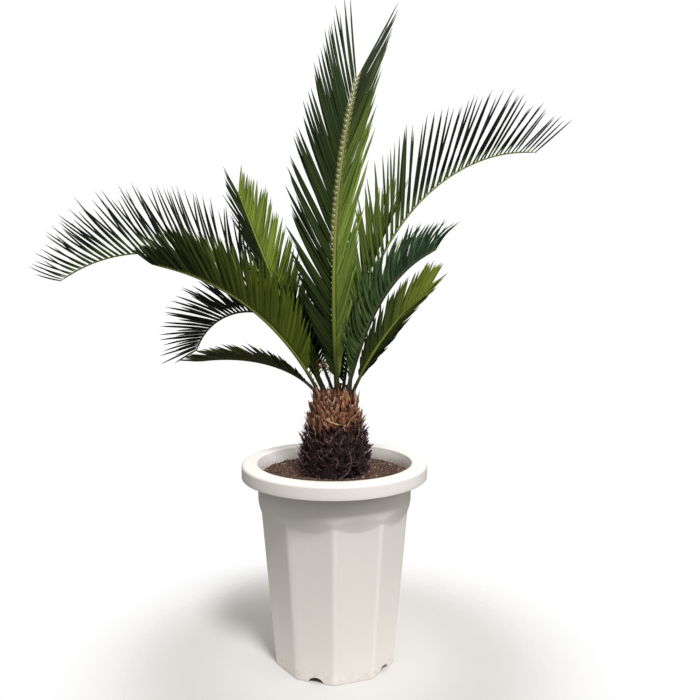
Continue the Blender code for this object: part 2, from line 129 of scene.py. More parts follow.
def pot_section():
    """(height, radius) round the shell's section. A radius of None takes the faceted wall's."""
    lip = RIM_EDGE_ROUND
    hollow = RIM_HOLLOW_ROUND
    foot = RIM_FOOT_ROUND
    mouth = RIM_MOUTH_ROUND
    skirt = RIM_RADIUS - SHELL_THICKNESS
    face_foot = POT_HEIGHT - RIM_FACE_HEIGHT
    under = POT_HEIGHT - SHELL_THICKNESS
    # Rows of corners up the wall, closest together through the shoulder.
    heights = [FOOT_ROUND * share for share in (0, 0.06, 0.2, 0.45, 1.0)]
    heights += list(np.linspace(0.008, 0.2080, 13)) + list(np.linspace(0.2110, 0.2440, 50))
    heights += [0.252, 0.262, 0.274, 0.284]
    section = [(float(height), None) for height in heights]
    section += arc(under - hollow, BAND_RADIUS_TOP + hollow, hollow, 180, 90, 5)
    section += arc(under - hollow, skirt - hollow, hollow, 90, 0, 4)
    section += [(0.281, skirt), (face_foot, skirt)]
    section += arc(face_foot + foot, RIM_RADIUS - foot, foot, -90, 0, 5)
    section += [(face_foot + 0.006, RIM_RADIUS)]
    section += arc(POT_HEIGHT - lip, RIM_RADIUS - lip, lip, 0, 90, 10)
    section += [(POT_HEIGHT, 0.126), (POT_HEIGHT, 0.120)]
    section += arc(POT_HEIGHT - mouth, RIM_OPENING_RADIUS + mouth, mouth, 90, 180, 6)
    section += [(POT_HEIGHT - 0.006, RIM_OPENING_RADIUS - 0.0015)]
    section += [(height, inner_radius(height)) for height in (0.280, 0.272, 0.262, 0.252, SHOULDER_TOP)]
    section += [(height, inner_radius(height)) for height in (FACET_HEIGHT, 0.12, SHELL_THICKNESS)]
    return section


def polar(radius, angle, height):
    """A point at a distance from the pot's axis, an angle round it and a height."""
    return radius * math.cos(angle), radius * math.sin(angle), height


def ring_faces(starts, count):
    """Quads between neighbouring rings of count points each."""
    faces = []
    for low, high in zip(starts[:-1], starts[1:]):
        for step in range(count):
            after = (step + 1) % count
            faces.append((low + step, low + after, high + after, high + step))
    return faces


def capped_rings(starts, count):
    """The faces of a row of rings, closed at both ends."""
    faces = ring_faces(starts, count)
    faces.append(tuple(reversed(range(starts[0], starts[0] + count))))
    faces.append(tuple(range(starts[-1], starts[-1] + count)))
    return faces


def show(name, data):
    """An object of its own in the scene."""
    piece = bpy.data.objects.new(name, data)
    bpy.context.scene.collection.objects.link(piece)
    return piece


def add_mesh(name, points, faces, sharp_from=SHARP_FROM):
    """A closed piece from its corners and faces, turned outwards and smoothed up to an angle."""
    mesh = bpy.data.meshes.new(name)
    mesh.from_pydata([tuple(point) for point in points], [], faces)
    shell = bmesh.new()
    shell.from_mesh(mesh)
    bmesh.ops.recalc_face_normals(shell, faces=shell.faces)
    shell.to_mesh(mesh)
    shell.free()
    mesh.shade_smooth()
    mesh.set_sharp_from_angle(angle=math.radians(sharp_from))
    return show(name, mesh)


def settle(piece):
    """Makes what a piece's modifiers give its plain mesh, and takes them off."""
    bpy.context.view_layer.update()
    shaped = piece.evaluated_get(bpy.context.evaluated_depsgraph_get())
    mesh = bpy.data.meshes.new_from_object(shaped)
    piece.modifiers.clear()
    piece.data = mesh
    return piece


def make_pot():
    side = 360 / POT_SIDES
    angles = [math.radians(side * index + side / 2 + line)
              for index in range(POT_SIDES) for line in FACET_LINES]
    points, starts = [], []
    for height, radius in pot_section():
        starts.append(len(points))
        for angle in angles:
            reach = wall_radius(height, angle) if radius is None else radius
            points.append(polar(reach, angle, height))
    return add_mesh("pot_shell", points, capped_rings(starts, len(angles)))


def notch_tools():
    """Five low arches in one mesh, each running in from the wall's foot."""
    below = -0.002
    steps = 20
    outline = [(-NOTCH_WIDTH / 2, below)]
    for step in range(steps + 1):
        turn = math.pi - math.pi * step / steps
        outline.append((NOTCH_WIDTH / 2 * math.cos(turn), NOTCH_HEIGHT * math.sin(turn)))
    outline.append((NOTCH_WIDTH / 2, below))
    count = len(outline)
    points, faces = [], []
    for notch in range(NOTCH_COUNT):
        angle = math.radians(NOTCH_FIRST_ANGLE + notch * 360 / NOTCH_COUNT)
        first = len(points)
        for reach in (NOTCH_INNER_RADIUS, BAND_RADIUS_TOP):
            for across, up in outline:
                x = reach * math.cos(angle) - across * math.sin(angle)
                y = reach * math.sin(angle) + across * math.cos(angle)
                points.append((x, y, up))
        faces += ring_faces([first, first + count], count)
        faces.append(tuple(range(first, first + count)))
        faces.append(tuple(reversed(range(first + count, first + 2 * count))))
    return add_mesh("notch_tools", points, faces)


class Wire:
    """A socket in a node tree. Python's operators on it add the Math nodes that they stand for."""

    def __init__(self, tree, socket=None):
        self.tree = tree
        self.socket = socket

    def node(self, kind, settings=None, inputs=None, out=0):
        """Any node: its settings first, then the values or links of its sockets."""
        node = self.tree.nodes.new(kind)
        for name, value in (settings or {}).items():
            if name == "curve":
                points = node.mapping.curves[0].points
                points[0].location = value[0]
                points[1].location = value[-1]
                for place in value[1:-1]:
                    points.new(*place)
                for point in points:
                    point.handle_type = "AUTO_CLAMPED"
                node.mapping.update()
            else:
                setattr(node, name, value)
        for name, value in (inputs or {}).items():
            if isinstance(value, Wire):
                self.tree.links.new(value.socket, node.inputs[name])
            elif node.inputs[name].type == "RGBA" and len(value) == 3:
                node.inputs[name].default_value = (*value, 1.0)
            else:
                node.inputs[name].default_value = value
        return Wire(self.tree, node.outputs[out])

    def feed(self, socket):
        self.tree.links.new(self.socket, socket)

    def maths(self, operation, *terms):
        """A Math node, or a Vector Math node where a term is a vector."""
        vectors = [term for term in terms
                   if isinstance(term, (tuple, Vector)) or getattr(term, "is_vector", False)]
        if not vectors:
            return self.node("ShaderNodeMath", {"operation": operation}, dict(enumerate(terms)))
        if operation == "MULTIPLY" and len(vectors) == 1:
            number = terms[1] if terms[0] is vectors[0] else terms[0]
            settings = {"operation": "SCALE"}
            return self.node("ShaderNodeVectorMath", settings, {0: vectors[0], "Scale": number})
        out = 1 if operation in ("DOT_PRODUCT", "LENGTH") else 0
        return self.node("ShaderNodeVectorMath", {"operation": operation}, dict(enumerate(terms)), out)

    @property
    def is_vector(self):
        return self.socket is not None and self.socket.type == "VECTOR"

    def __add__(self, other):
        return self.maths("ADD", self, other)

    def __radd__(self, other):
        return self.maths("ADD", other, self)

    def __sub__(self, other):
        return self.maths("SUBTRACT", self, other)

    def __rsub__(self, other):
        return self.maths("SUBTRACT", other, self)

    def __mul__(self, other):
        return self.maths("MULTIPLY", self, other)

    def __rmul__(self, other):
        return self.maths("MULTIPLY", other, self)

    def __truediv__(self, other):
        return self.maths("DIVIDE", self, other)

    def __rtruediv__(self, other):
        return self.maths("DIVIDE", other, self)

    def __pow__(self, other):
        return self.maths("POWER", self, other)

    def axis(self, index):
        return self.node("ShaderNodeSeparateXYZ", None, {0: self}, index)

    def absolute(self):
        return self.maths("ABSOLUTE", self)

    def cross(self, other):
        return self.maths("CROSS_PRODUCT", self, other)

    def clamped(self, low=0.0, high=1.0):
        return self.node("ShaderNodeClamp", None, {0: self, 1: low, 2: high})

    def step(self, start, end):
        """0 before start, 1 past end, and eased between them."""
        settings = {"interpolation_type": "SMOOTHSTEP"}
        return self.node("ShaderNodeMapRange", settings, {0: self, 1: start, 2: end})

    def mix(self, low, high):
        """Two colours mixed, with this value as the share of the second."""
        return self.node("ShaderNodeMix", {"data_type": "RGBA"}, {0: self, 6: low, 7: high}, 2)

    def times(self, colour, share=1.0):
        """This colour multiplied by another, as far as the share says."""
        settings = {"data_type": "RGBA", "blend_type": "MULTIPLY"}
        return self.node("ShaderNodeMix", settings, {0: share, 6: self, 7: colour}, 2)

    def grain(self, size, detail=2.0, roughness=0.5):
        """Soft noise over these coordinates, with patches of about one over size."""
        inputs = {"Vector": self, "Scale": size, "Detail": detail, "Roughness": roughness}
        return self.node("ShaderNodeTexNoise", None, inputs, "Fac")

    def wobble(self, size, detail):
        """A soft random vector over these coordinates, each of its axes from -0.5 to 0.5."""
        inputs = {"Vector": self, "Scale": size, "Detail": detail}
        noisy = self.node("ShaderNodeTexNoise", None, inputs, "Color")
        return self.node("ShaderNodeVectorMath", {"operation": "SUBTRACT"}, {0: noisy, 1: (0.5, 0.5, 0.5)})

    def here(self):
        """Where each spot of the piece lies."""
        return self.node("ShaderNodeTexCoord", None, None, "Object")

    def read(self, name, out="Fac"):
        """What a material finds stored on the piece under a name."""
        return self.node("ShaderNodeAttribute", {"attribute_name": name}, None, out)


def new_material(name, constants):
    """A material, a wire into its tree, and its shader with the values that are the same all over."""
    material = bpy.data.materials.new(name)
    material.use_nodes = True
    shader = material.node_tree.nodes["Principled BSDF"]
    for socket, value in constants.items():
        shader.inputs[socket].default_value = value
    return material, Wire(material.node_tree), shader


def roughen(start, shader, height, strength, distance):
    """Feeds a height into the shader's normal through a Bump node."""
    bump = start.node("ShaderNodeBump", None, {"Height": height, "Strength": strength, "Distance": distance})
    bump.feed(shader.inputs["Normal"])


def paint(shader, colour, roughness):
    colour.feed(shader.inputs["Base Color"])
    roughness.feed(shader.inputs["Roughness"])


def pot_plastic():
    material, start, shader = new_material("pot_plastic", {"Specular IOR Level": 0.45})
    place = start.here()
    height = place.axis(2)
    level = place * (1.0, 1.0, 0.0)
    reach = level.maths("LENGTH", level)
    cloud = place.grain(9.0, 3.0)
    upright = (place * (1.0, 1.0, 0.12)).grain(60.0)
    speck = place.grain(900.0, 2.0, 0.7)
    # Dust settles on the foot, and potting mix has washed against the inside above the soil.
    foot_dust = (1.0 - height.step(0.0, 0.030)) * place.grain(140.0, 4.0, 0.65).step(0.42, 0.75)
    inside = (1.0 - reach.step(0.1095, 0.1108)) * height.step(0.260, 0.264)
    splash = inside * (1.0 - height.step(0.277, 0.2835)) * place.grain(260.0, 4.0, 0.6).step(0.45, 0.75)
    scuff = (place * (1.0, 1.0, 6.0)).grain(75.0, 5.0, 0.7).step(0.66, 0.72)
    colour = (cloud * 0.6 + upright * 0.4).mix((0.79, 0.775, 0.745), (0.86, 0.85, 0.82))
    # The rounded corners carry painted highlights: a paler streak up each corner, below the shoulder.
    facet = place.maths("ARCTAN2", place.axis(1), place.axis(0)) * (POT_SIDES / (2 * math.pi)) + 0.5
    off_corner = facet - facet.maths("ROUND", facet)
    corner = 1.0 - off_corner.absolute().step(0.010, 0.085)
    corner = corner * (1.0 - height.step(0.220, 0.236)) * (0.6 + upright * 0.8).clamped()
    colour = (corner * 0.55).mix(colour, (0.97, 0.955, 0.935))
    # The pot is paler from the rim up, and the inner wall is painted palest: painted light on the inner wall,
    # which the stem and fronds shade.
    colour = height.step(0.268, 0.275).mix(colour, (0.90, 0.89, 0.865))
    colour = inside.mix(colour, (0.96, 0.95, 0.93))
    colour = (scuff * 0.35).mix(colour, (0.62, 0.60, 0.555))
    # The wall is painted darker towards the foot: a painted shade.
    colour = ((1.0 - height.step(0.0, 0.21)) * 0.42).mix(colour, (0.60, 0.575, 0.54))
    colour = (foot_dust * 0.35).mix(colour, (0.38, 0.33, 0.27))
    colour = (splash * 0.6).mix(colour, (0.30, 0.23, 0.17))
    gloss = 0.30 + cloud * 0.12 + scuff * 0.15 + (foot_dust + splash) * 0.3
    paint(shader, colour, gloss.clamped(0.2, 0.95))
    roughen(start, shader, speck * 0.5 + upright, 0.12, 0.0006)
    return material


def dress(piece, node, material=None):
    """Gives a piece its material, if one is given, and its body, and hides the imported part of its node."""
    if material is not None:
        piece.data.materials.clear()
        piece.data.materials.append(material)
    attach(piece, "root")
    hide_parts(node)


pot = make_pot()
notches = notch_tools()
cut = pot.modifiers.new("drain notches", "BOOLEAN")
cut.operation = "DIFFERENCE"
cut.solver = "EXACT"
cut.object = notches
settle(pot)
bpy.data.objects.remove(notches, do_unlink=True)
pot.data.set_sharp_from_angle(angle=math.radians(SHARP_FROM))
dress(pot, "pot", pot_plastic())

# The soil is dark peat-and-bark potting mix pressed into the pot to a finger's breadth below
# the lip, a little lower at its edge. Crumbs, bark chips and pale pumice grains lie loose on it.

SOIL_HEIGHT = 0.2775
SOIL_EDGE_DROP = 0.003
SOIL_LEVEL_RADIUS = 0.060
SOIL_EDGE_RADIUS = 0.109
SOIL_LUMPS = 0.0011
SOIL_HEAPS = 0.0012
CLEARANCE = 0.0003
TRUNK_ROOT_RADIUS = 0.038
TRUNK_ROOT_DEPTH = 0.060
SOIL_COLUMNS = 160
CRUMB_COUNT = 5200
PUMICE_COUNT = 260


def soil_surface(radius, angle):
    """The soil's height: level by the stem, lower at the wall, and lumpy all over."""
    share = max(0.0, (radius - SOIL_LEVEL_RADIUS) / (SOIL_EDGE_RADIUS - SOIL_LEVEL_RADIUS))
    fall = share ** 1.6 * SOIL_EDGE_DROP
    spot = Vector(polar(radius, angle, 0.0))
    lumps = noise.fractal(spot * 60, 1.0, 2.0, 4) * SOIL_LUMPS
    heap = SOIL_HEAPS * noise.noise(spot * 22)
    loose = 1.0 if radius > TRUNK_ROOT_RADIUS + 0.001 else 0.0
    return SOIL_HEIGHT - fall + (lumps + heap - SOIL_HEAPS / 2) * loose


def make_soil():
    floor = SHELL_THICKNESS + CLEARANCE
    hole = TRUNK_ROOT_RADIUS + CLEARANCE
    angles = [2 * math.pi * step / SOIL_COLUMNS for step in range(SOIL_COLUMNS)]
    points, starts = [], []

    def add_ring(radius, heights):
        starts.append(len(points))
        for angle, height in zip(angles, heights):
            points.append(polar(radius, angle, height))

    for height in (floor, 0.08, 0.16, FACET_HEIGHT, SHOULDER_TOP):
        add_ring(inner_radius(height) - CLEARANCE, [height] * SOIL_COLUMNS)
    edge = inner_radius(SOIL_HEIGHT) - CLEARANCE
    for radius in np.linspace(edge, hole, 44):
        add_ring(radius, [soil_surface(radius, angle) for angle in angles])
    add_ring(hole, [SOIL_HEIGHT - TRUNK_ROOT_DEPTH - CLEARANCE] * SOIL_COLUMNS)
    return add_mesh("soil_bed", points, capped_rings(starts, SOIL_COLUMNS), 60)


def new_growth(name, sizes):
    """A geometry tree with a named input for each size. Returns it, a wire and its inputs."""
    tree = bpy.data.node_groups.new(name, "GeometryNodeTree")
    kinds = {int: "NodeSocketInt", float: "NodeSocketFloat", tuple: "NodeSocketVector",
             bpy.types.Material: "NodeSocketMaterial"}
    tree.interface.new_socket("Geometry", in_out="INPUT", socket_type="NodeSocketGeometry")
    for size, value in sizes.items():
        item = tree.interface.new_socket(size, in_out="INPUT", socket_type=kinds[type(value)])
        item.default_value = value
    tree.interface.new_socket("Geometry", in_out="OUTPUT", socket_type="NodeSocketGeometry")
    given = tree.nodes.new("NodeGroupInput")
    return tree, Wire(tree), {socket.name: Wire(tree, socket) for socket in given.outputs if socket.name}


def end_growth(geometry):
    end = geometry.tree.nodes.new("NodeGroupOutput")
    geometry.feed(end.inputs[0])


def grow(name, tree, sizes=None, base=None):
    """A plain mesh grown by a tree, from another mesh or from nothing."""
    piece = show(name, base.data.copy() if base else bpy.data.meshes.new(name))
    growth = piece.modifiers.new("growth", "NODES")
    growth.node_group = tree
    items = {item.name: item for item in tree.interface.items_tree if item.in_out == "INPUT"}
    for size, value in (sizes or {}).items():
        growth[items[size].identifier] = value
    settle(piece)
    piece.data.name = name
    return piece


def keep(geometry, **values):
    """Stores values on each point of the geometry, each under its name."""
    for name, value in values.items():
        settings = {"data_type": "FLOAT_VECTOR" if value.is_vector else "FLOAT", "domain": "POINT"}
        inputs = {"Geometry": geometry, "Name": name, "Value": value}
        geometry = geometry.node("GeometryNodeStoreNamedAttribute", settings, inputs)
    return geometry


def kept(start, name):
    return start.node("GeometryNodeInputNamedAttribute", {"data_type": "FLOAT"}, {"Name": name}, "Attribute")


def kept_vector(start, name):
    settings = {"data_type": "FLOAT_VECTOR"}
    return start.node("GeometryNodeInputNamedAttribute", settings, {"Name": name}, "Attribute")


def chance(start, low, high, seed):
    """A number drawn for each point, the same on every run."""
    return start.node("FunctionNodeRandomValue", {"data_type": "FLOAT"}, {2: low, 3: high, "Seed": seed}, 1)


def vector(start, x, y, z):
    return start.node("ShaderNodeCombineXYZ", None, {0: x, 1: y, 2: z})


def grain_tree(material):
    """Rough little stones scattered on the soil's top."""
    tree, start, given = new_growth("loose grains", {
        "Count": 1000, "Smallest": 0.0005, "Largest": 0.002, "Flatness": 0.7, "Seed": 1})
    normal = start.node("GeometryNodeInputNormal")
    height = start.node("GeometryNodeInputPosition").axis(2)
    top = normal.axis(2).maths("GREATER_THAN", normal.axis(2), 0.5)
    top = top * height.maths("GREATER_THAN", height, 0.26)
    area = start.node("GeometryNodeAttributeStatistic", {"domain": "FACE"}, {
        "Geometry": given["Geometry"], "Selection": top,
        "Attribute": start.node("GeometryNodeInputMeshFaceArea")}, "Sum")
    density = given["Count"] / area
    seats = start.node("GeometryNodeDistributePointsOnFaces", None, {
        "Mesh": given["Geometry"], "Selection": top, "Density": density, "Seed": given["Seed"]})
    size = chance(start, 0.0, 1.0, 3)
    size = given["Smallest"] + (given["Largest"] - given["Smallest"]) * size ** 2.2
    stone = start.node("GeometryNodeMeshIcoSphere", None, {"Radius": 1.0, "Subdivisions": 1})
    spin = vector(start, chance(start, 0.0, 0.9, 5), chance(start, 0.0, 0.9, 6), chance(start, 0.0, 6.3, 7))
    shape = vector(start, 1.0, chance(start, 0.55, 0.95, 8), given["Flatness"] * chance(start, 0.7, 1.1, 9))
    seats = keep(seats, tint=chance(start, 0.0, 1.0, 10))
    grains = start.node("GeometryNodeInstanceOnPoints", None, {
        "Points": seats, "Instance": stone, "Rotation": spin, "Scale": shape * size})
    grains = start.node("GeometryNodeRealizeInstances", None, {"Geometry": grains})
    push = start.node("GeometryNodeInputPosition").wobble(700.0, 1.0) * (given["Largest"] * 0.9)
    grains = start.node("GeometryNodeSetPosition", None, {"Geometry": grains, "Offset": push})
    grains = start.node("GeometryNodeSetMaterial", None, {"Geometry": grains, "Material": material})
    end_growth(grains)
    return tree


def soil_material(name, dark, light, size, tinted=True):
    """Gritty mix from a dark to a light tone. A tinted one has a tone of its own for each grain."""
    material, start, shader = new_material(name, {"Specular IOR Level": 0.3})
    place = start.here()
    crumbs = place.node("ShaderNodeTexVoronoi", None, {"Vector": place, "Scale": size}, "Distance")
    fine = place.grain(size * 2.2, 4.0, 0.7)
    share = fine.step(0.3, 0.75)
    if tinted:
        share = share * 0.4 + start.read("tint") * 0.6
    paint(shader, share.mix(dark, light), 0.78 + fine * 0.2)
    roughen(start, shader, crumbs * 0.6 + fine, 0.7, 0.0012)
    return material


soil = make_soil()
crumb_look = soil_material("soil_crumb", (0.018, 0.006, 0.007), (0.260, 0.160, 0.125), 500.0)
pumice_look = soil_material("pumice_grain", (0.30, 0.25, 0.19), (0.62, 0.56, 0.47), 900.0)
crumbs = grow("soil_crumbs", grain_tree(crumb_look), {
    "Count": CRUMB_COUNT, "Smallest": 0.0005, "Largest": 0.0026, "Seed": 4}, soil)
pumice = grow("soil_pumice", grain_tree(pumice_look), {
    "Count": PUMICE_COUNT, "Smallest": 0.0006, "Largest": 0.0020, "Flatness": 0.8, "Seed": 9}, soil)
dress(soil, "soil",
      soil_material("potting_soil", (0.018, 0.008, 0.007), (0.100, 0.058, 0.042), 420.0, False))
dress(crumbs, "soil")
dress(pumice, "soil")

# The trunk is a short swollen stem. The hard stubs of shed leaves cover it in a spiral: worn
# down, dark and shaggy below, flat and rust-brown towards the crown. Torn papery strips and dry
# fibres hang on it.

TRUNK_FOOT_RADIUS = 0.0465
TRUNK_CROWN_RADIUS = 0.030
# The stem narrows between these shares of its height.
TRUNK_NARROWS_FROM = 0.20
TRUNK_NARROWS_TO = 0.82
TRUNK_NARROWING = 1.15
CROWN_HEIGHT = 0.392
CROWN_DOME = 0.003
CORE_INSET = 0.0012
CORE_SIDES = 72
CORE_KNOBS = 0.0010
CORE_KNOBS_LIMIT = 0.0008
# How deep in the stem a stub is seated.
STUB_INSET = 0.0022
STUB_COUNT = 340
PLATE_COUNT = 150
STRIP_COUNT = 230
CROWN_SCALE_COUNT = 110
FIBRE_COUNT = 1100
GOLDEN_TURN = math.radians(137.508)


def trunk_radius(height):
    rise = (height - SOIL_HEIGHT) / (CROWN_HEIGHT - SOIL_HEIGHT)
    share = (rise - TRUNK_NARROWS_FROM) / (TRUNK_NARROWS_TO - TRUNK_NARROWS_FROM)
    drawn_in = max(0.0, min(1.0, share)) ** TRUNK_NARROWING
    return TRUNK_FOOT_RADIUS + (TRUNK_CROWN_RADIUS - TRUNK_FOOT_RADIUS) * drawn_in


def make_trunk_core():
    """The stem under the stubs, its domed crown and the root end in the soil."""
    angles = [2 * math.pi * step / CORE_SIDES for step in range(CORE_SIDES)]
    dome_foot = CROWN_HEIGHT - CROWN_DOME
    rings = [(SOIL_HEIGHT - TRUNK_ROOT_DEPTH, TRUNK_ROOT_RADIUS), (SOIL_HEIGHT - 0.002, TRUNK_ROOT_RADIUS)]
    rings += [(float(height), trunk_radius(height) - CORE_INSET)
              for height in np.linspace(SOIL_HEIGHT + 0.0005, dome_foot, 40)]
    rings += [(dome_foot + (CROWN_DOME + 0.001) * math.sin(t), TRUNK_CROWN_RADIUS * math.cos(t))
              for t in np.radians((25, 50, 75, 88))]
    points, starts = [], []
    for height, radius in rings:
        starts.append(len(points))
        for angle in angles:
            spot = Vector(polar(radius, angle, height))
            knobs = CORE_KNOBS * noise.fractal(spot * 110, 1.0, 2.0, 3) if height > SOIL_HEIGHT else 0.0
            points.append(polar(radius + min(knobs, CORE_KNOBS_LIMIT), angle, height))
    return add_mesh("trunk_core", points, capped_rings(starts, CORE_SIDES), 50)


def blank_tube(start, sides, rings):
    """A plain round tube, a metre long and two across, that a tree shapes into something else."""
    return start.node("GeometryNodeMeshCylinder", {"fill_type": "NGON"}, {
        "Vertices": sides, "Side Segments": rings, "Radius": 1.0, "Depth": 1.0}, "Mesh")


def blade(start, seats, sides, rings, finer=1.0):
    """A pointed blank on every seat. Its 'blank' attribute says where each corner lies on it:
    across it from -1 to 1, through it from -1 to 1, and along it from 0 to 1."""
    place = start.node("GeometryNodeInputPosition")
    along = (place.axis(2) + 0.5).clamped() ** finer
    tube = keep(blank_tube(start, sides, rings), blank=vector(start, place.axis(1), place.axis(0), along))
    blanks = start.node("GeometryNodeInstanceOnPoints", None, {"Points": seats, "Instance": tube})
    return start.node("GeometryNodeRealizeInstances", None, {"Geometry": blanks})


def place_blades(geometry, spot, material):
    """Moves every corner of the blanks to its own spot, and finishes them."""
    geometry = geometry.node("GeometryNodeSetPosition", None, {"Geometry": geometry, "Position": spot})
    geometry = geometry.node("GeometryNodeSetShadeSmooth", None, {0: geometry})
    return geometry.node("GeometryNodeSetMaterial", None, {"Geometry": geometry, "Material": material})


def curve_of(value, points):
    """Reads a curve through given points at a value from 0 to 1."""
    return value.node("ShaderNodeFloatCurve", {"curve": points}, {"Value": value})


def sine(angle):
    return angle.maths("SINE", angle)


def cosine(angle):
    return angle.maths("COSINE", angle)


def unit(direction):
    return direction.maths("NORMALIZE", direction)


def between(first, last, share):
    """The value that lies at a share of the way from the first to the last."""
    return first + (last - first) * share


def stem_radius(height):
    """The stem's radius at a height in a geometry tree."""
    rise = (height - SOIL_HEIGHT) / (CROWN_HEIGHT - SOIL_HEIGHT)
    share = (rise - TRUNK_NARROWS_FROM) / (TRUNK_NARROWS_TO - TRUNK_NARROWS_FROM)
    return between(TRUNK_FOOT_RADIUS, TRUNK_CROWN_RADIUS, share.clamped() ** TRUNK_NARROWING)


def stem_directions(start, turn):
    """Straight out of the stem at a turn round it, sideways along its face, and up."""
    out = vector(start, cosine(turn), sine(turn), 0.0)
    sideways = vector(start, 0.0 - sine(turn), cosine(turn), 0.0)
    return out, sideways, vector(start, 0.0, 0.0, 1.0)


def stub_tree(material):
    """Horn-like stubs in a golden-angle spiral up the stem."""
    tree, start, given = new_growth("leaf stubs", {
        "Count": 100, "Low Height": 0.28, "High Height": 0.39,
        "Low Length": 0.009, "High Length": 0.024, "Low Tilt": 0.7, "High Tilt": 1.35,
        "Low Width": 0.008, "High Width": 0.006, "Thickness": 0.004, "Inwards": 0.0, "Outwards": 0.0,
        "Scatter": 0.012, "Sideways": 0.3, "Curl": -0.16, "Curl Range": 0.0,
        "Ragged": 0.0035, "Blunt": 0.0, "Seed": 1})
    seats = start.node("GeometryNodeMeshLine", None, {"Count": given["Count"]})
    index = start.node("GeometryNodeInputIndex")
    rise = (index + 0.5) / given["Count"]
    rise = (rise + chance(start, -1.0, 1.0, given["Seed"] + 1) * given["Scatter"]).clamped()
    turn = index * GOLDEN_TURN + chance(start, -9.0, 9.0, given["Seed"] + 2) * given["Scatter"]
    height = between(given["Low Height"], given["High Height"], rise)
    radius = stem_radius(height) - given["Inwards"] * chance(start, 0.0, 1.0, 4) ** 0.7
    radius = radius + given["Outwards"] * chance(start, 0.0, 1.0, 14)
    out, sideways, above = stem_directions(start, turn)
    tilt = between(given["Low Tilt"], given["High Tilt"], rise ** 0.8)
    tilt = tilt + chance(start, -0.25, 0.25, given["Seed"] + 5)
    lean = chance(start, -1.0, 1.0, given["Seed"] + 6) * given["Sideways"]
    ahead = unit(out * cosine(tilt) + above * sine(tilt) + sideways * lean)
    length = between(given["Low Length"], given["High Length"], rise ** 1.4)
    width = between(given["Low Width"], given["High Width"], rise)
    curl = given["Curl"] + given["Curl Range"] * chance(start, -1.0, 1.0, given["Seed"] + 9)
    seats = keep(seats,
                 seat=out * (radius - STUB_INSET) + above * height,
                 ahead=ahead,
                 face=unit(sideways.cross(ahead)),
                 length=length * chance(start, 0.5, 1.2, given["Seed"] + 7),
                 width=width * chance(start, 0.6, 1.25, given["Seed"] + 10),
                 curl=curl,
                 tint=chance(start, 0.0, 1.0, given["Seed"] + 8))
    stubs = blade(start, seats, 6, 5, 0.9)
    blank, ahead, face = (kept_vector(start, name) for name in ("blank", "ahead", "face"))
    wide = ahead.cross(face)
    along = blank.axis(2)
    narrowing = curve_of(along, ((0, 0.9), (0.3, 1.0), (0.7, 0.72), (0.9, 0.42), (1, 0.12)))
    narrowing = narrowing + (0.95 - narrowing) * given["Blunt"]
    half = kept(start, "width") * 0.5 * narrowing
    thick = given["Thickness"] * 0.5 * narrowing
    length = kept(start, "length")
    spot = (kept_vector(start, "seat") + ahead * (length * along)
            + face * (length * kept(start, "curl") * along ** 2.0) + wide * (half * blank.axis(0))
            + face * (thick * blank.axis(1)))
    spot = spot + spot.wobble(420.0, 2.0) * (along * given["Ragged"])
    end_growth(place_blades(stubs, spot, material))
    return tree


def stub_material():
    """Rust-brown with pale frayed edges near the crown, purplish black and dusty below."""
    material, start, shader = new_material("leaf_stub", {"Specular IOR Level": 0.2})
    place = start.here()
    blank = start.read("blank", "Vector")
    tint = start.read("tint")
    height = place.axis(2) + (place.grain(60.0, 2.0) - 0.5) * 0.030
    fresh = height.step(0.340, 0.358)
    streak = (blank * (3.0, 3.0, 0.8) + place * 14.0).grain(5.0, 3.0, 0.6)
    blotch = place.grain(160.0, 2.0).step(0.35, 0.7)
    dark = streak.mix((0.010, 0.002, 0.006), (0.074, 0.024, 0.044))
    warm = (streak * 0.5 + tint * 0.3 + blotch * 0.2).step(0.25, 0.8)
    colour = fresh.mix(dark, warm.mix((0.070, 0.020, 0.009), (0.50, 0.195, 0.085)))
    edge = blank.axis(0).absolute()
    frayed = (edge.step(0.55, 1.0) * 0.6 + blank.axis(2).step(0.6, 1.0)) * streak.step(0.4, 0.65)
    frayed = frayed * (0.20 + fresh * 0.65) * (0.4 + tint * 0.6)
    colour = frayed.clamped().mix(colour, (0.62, 0.43, 0.34))
    # Each stub is painted near black towards its root: a painted shade where it sinks into the stem among its
    # neighbours.
    root = 1.0 - blank.axis(2).step(0.0, 0.45)
    paint(shader, (root * 0.8).mix(colour, (0.008, 0.003, 0.003)), 0.6 + streak * 0.35)
    threads = (blank * (14.0, 6.0, 1.5) + place * 20.0).grain(8.0, 3.0, 0.6)
    roughen(start, shader, threads, 0.8, 0.0015)
    return material


def plate_material():
    """Flat straps of old leaf bases: orange-brown, streaked along, dark between and pale where torn."""
    material, start, shader = new_material("leaf_base_plate", {"Specular IOR Level": 0.2})
    place = start.here()
    blank = start.read("blank", "Vector")
    tint = start.read("tint")
    own_part = vector(start, tint * 40.0, 0.0, 0.0)
    fine = (blank * (1.5, 0.3, 0.35) + place * 12.0 + own_part).grain(3.0, 3.0, 0.6)
    blotch = place.grain(120.0, 2.0)
    warm = (tint * 0.5 + blotch * 0.5 + (fine - 0.5) * 0.9).step(0.22, 0.78)
    colour = warm.mix((0.055, 0.016, 0.009), (0.53, 0.195, 0.075))
    torn = blank.axis(0).absolute().step(0.45, 0.95) * 0.7 + blank.axis(2).step(0.65, 1.0) * 0.8
    torn = torn * fine.step(0.38, 0.62) + fine.step(0.60, 0.70) * 0.6
    colour = torn.clamped().mix(colour, (0.56, 0.35, 0.25))
    gap = fine.step(0.33, 0.42)
    colour = (1.0 - gap).mix(colour, (0.022, 0.008, 0.006))
    # Each strap is painted darker towards its root: a painted shade where it sinks into the stem.
    root = 1.0 - blank.axis(2).step(0.0, 0.30)
    paint(shader, (root * 0.7).mix(colour, (0.020, 0.008, 0.006)), 0.6 + fine * 0.3)
    roughen(start, shader, fine, 0.9, 0.0016)
    return material


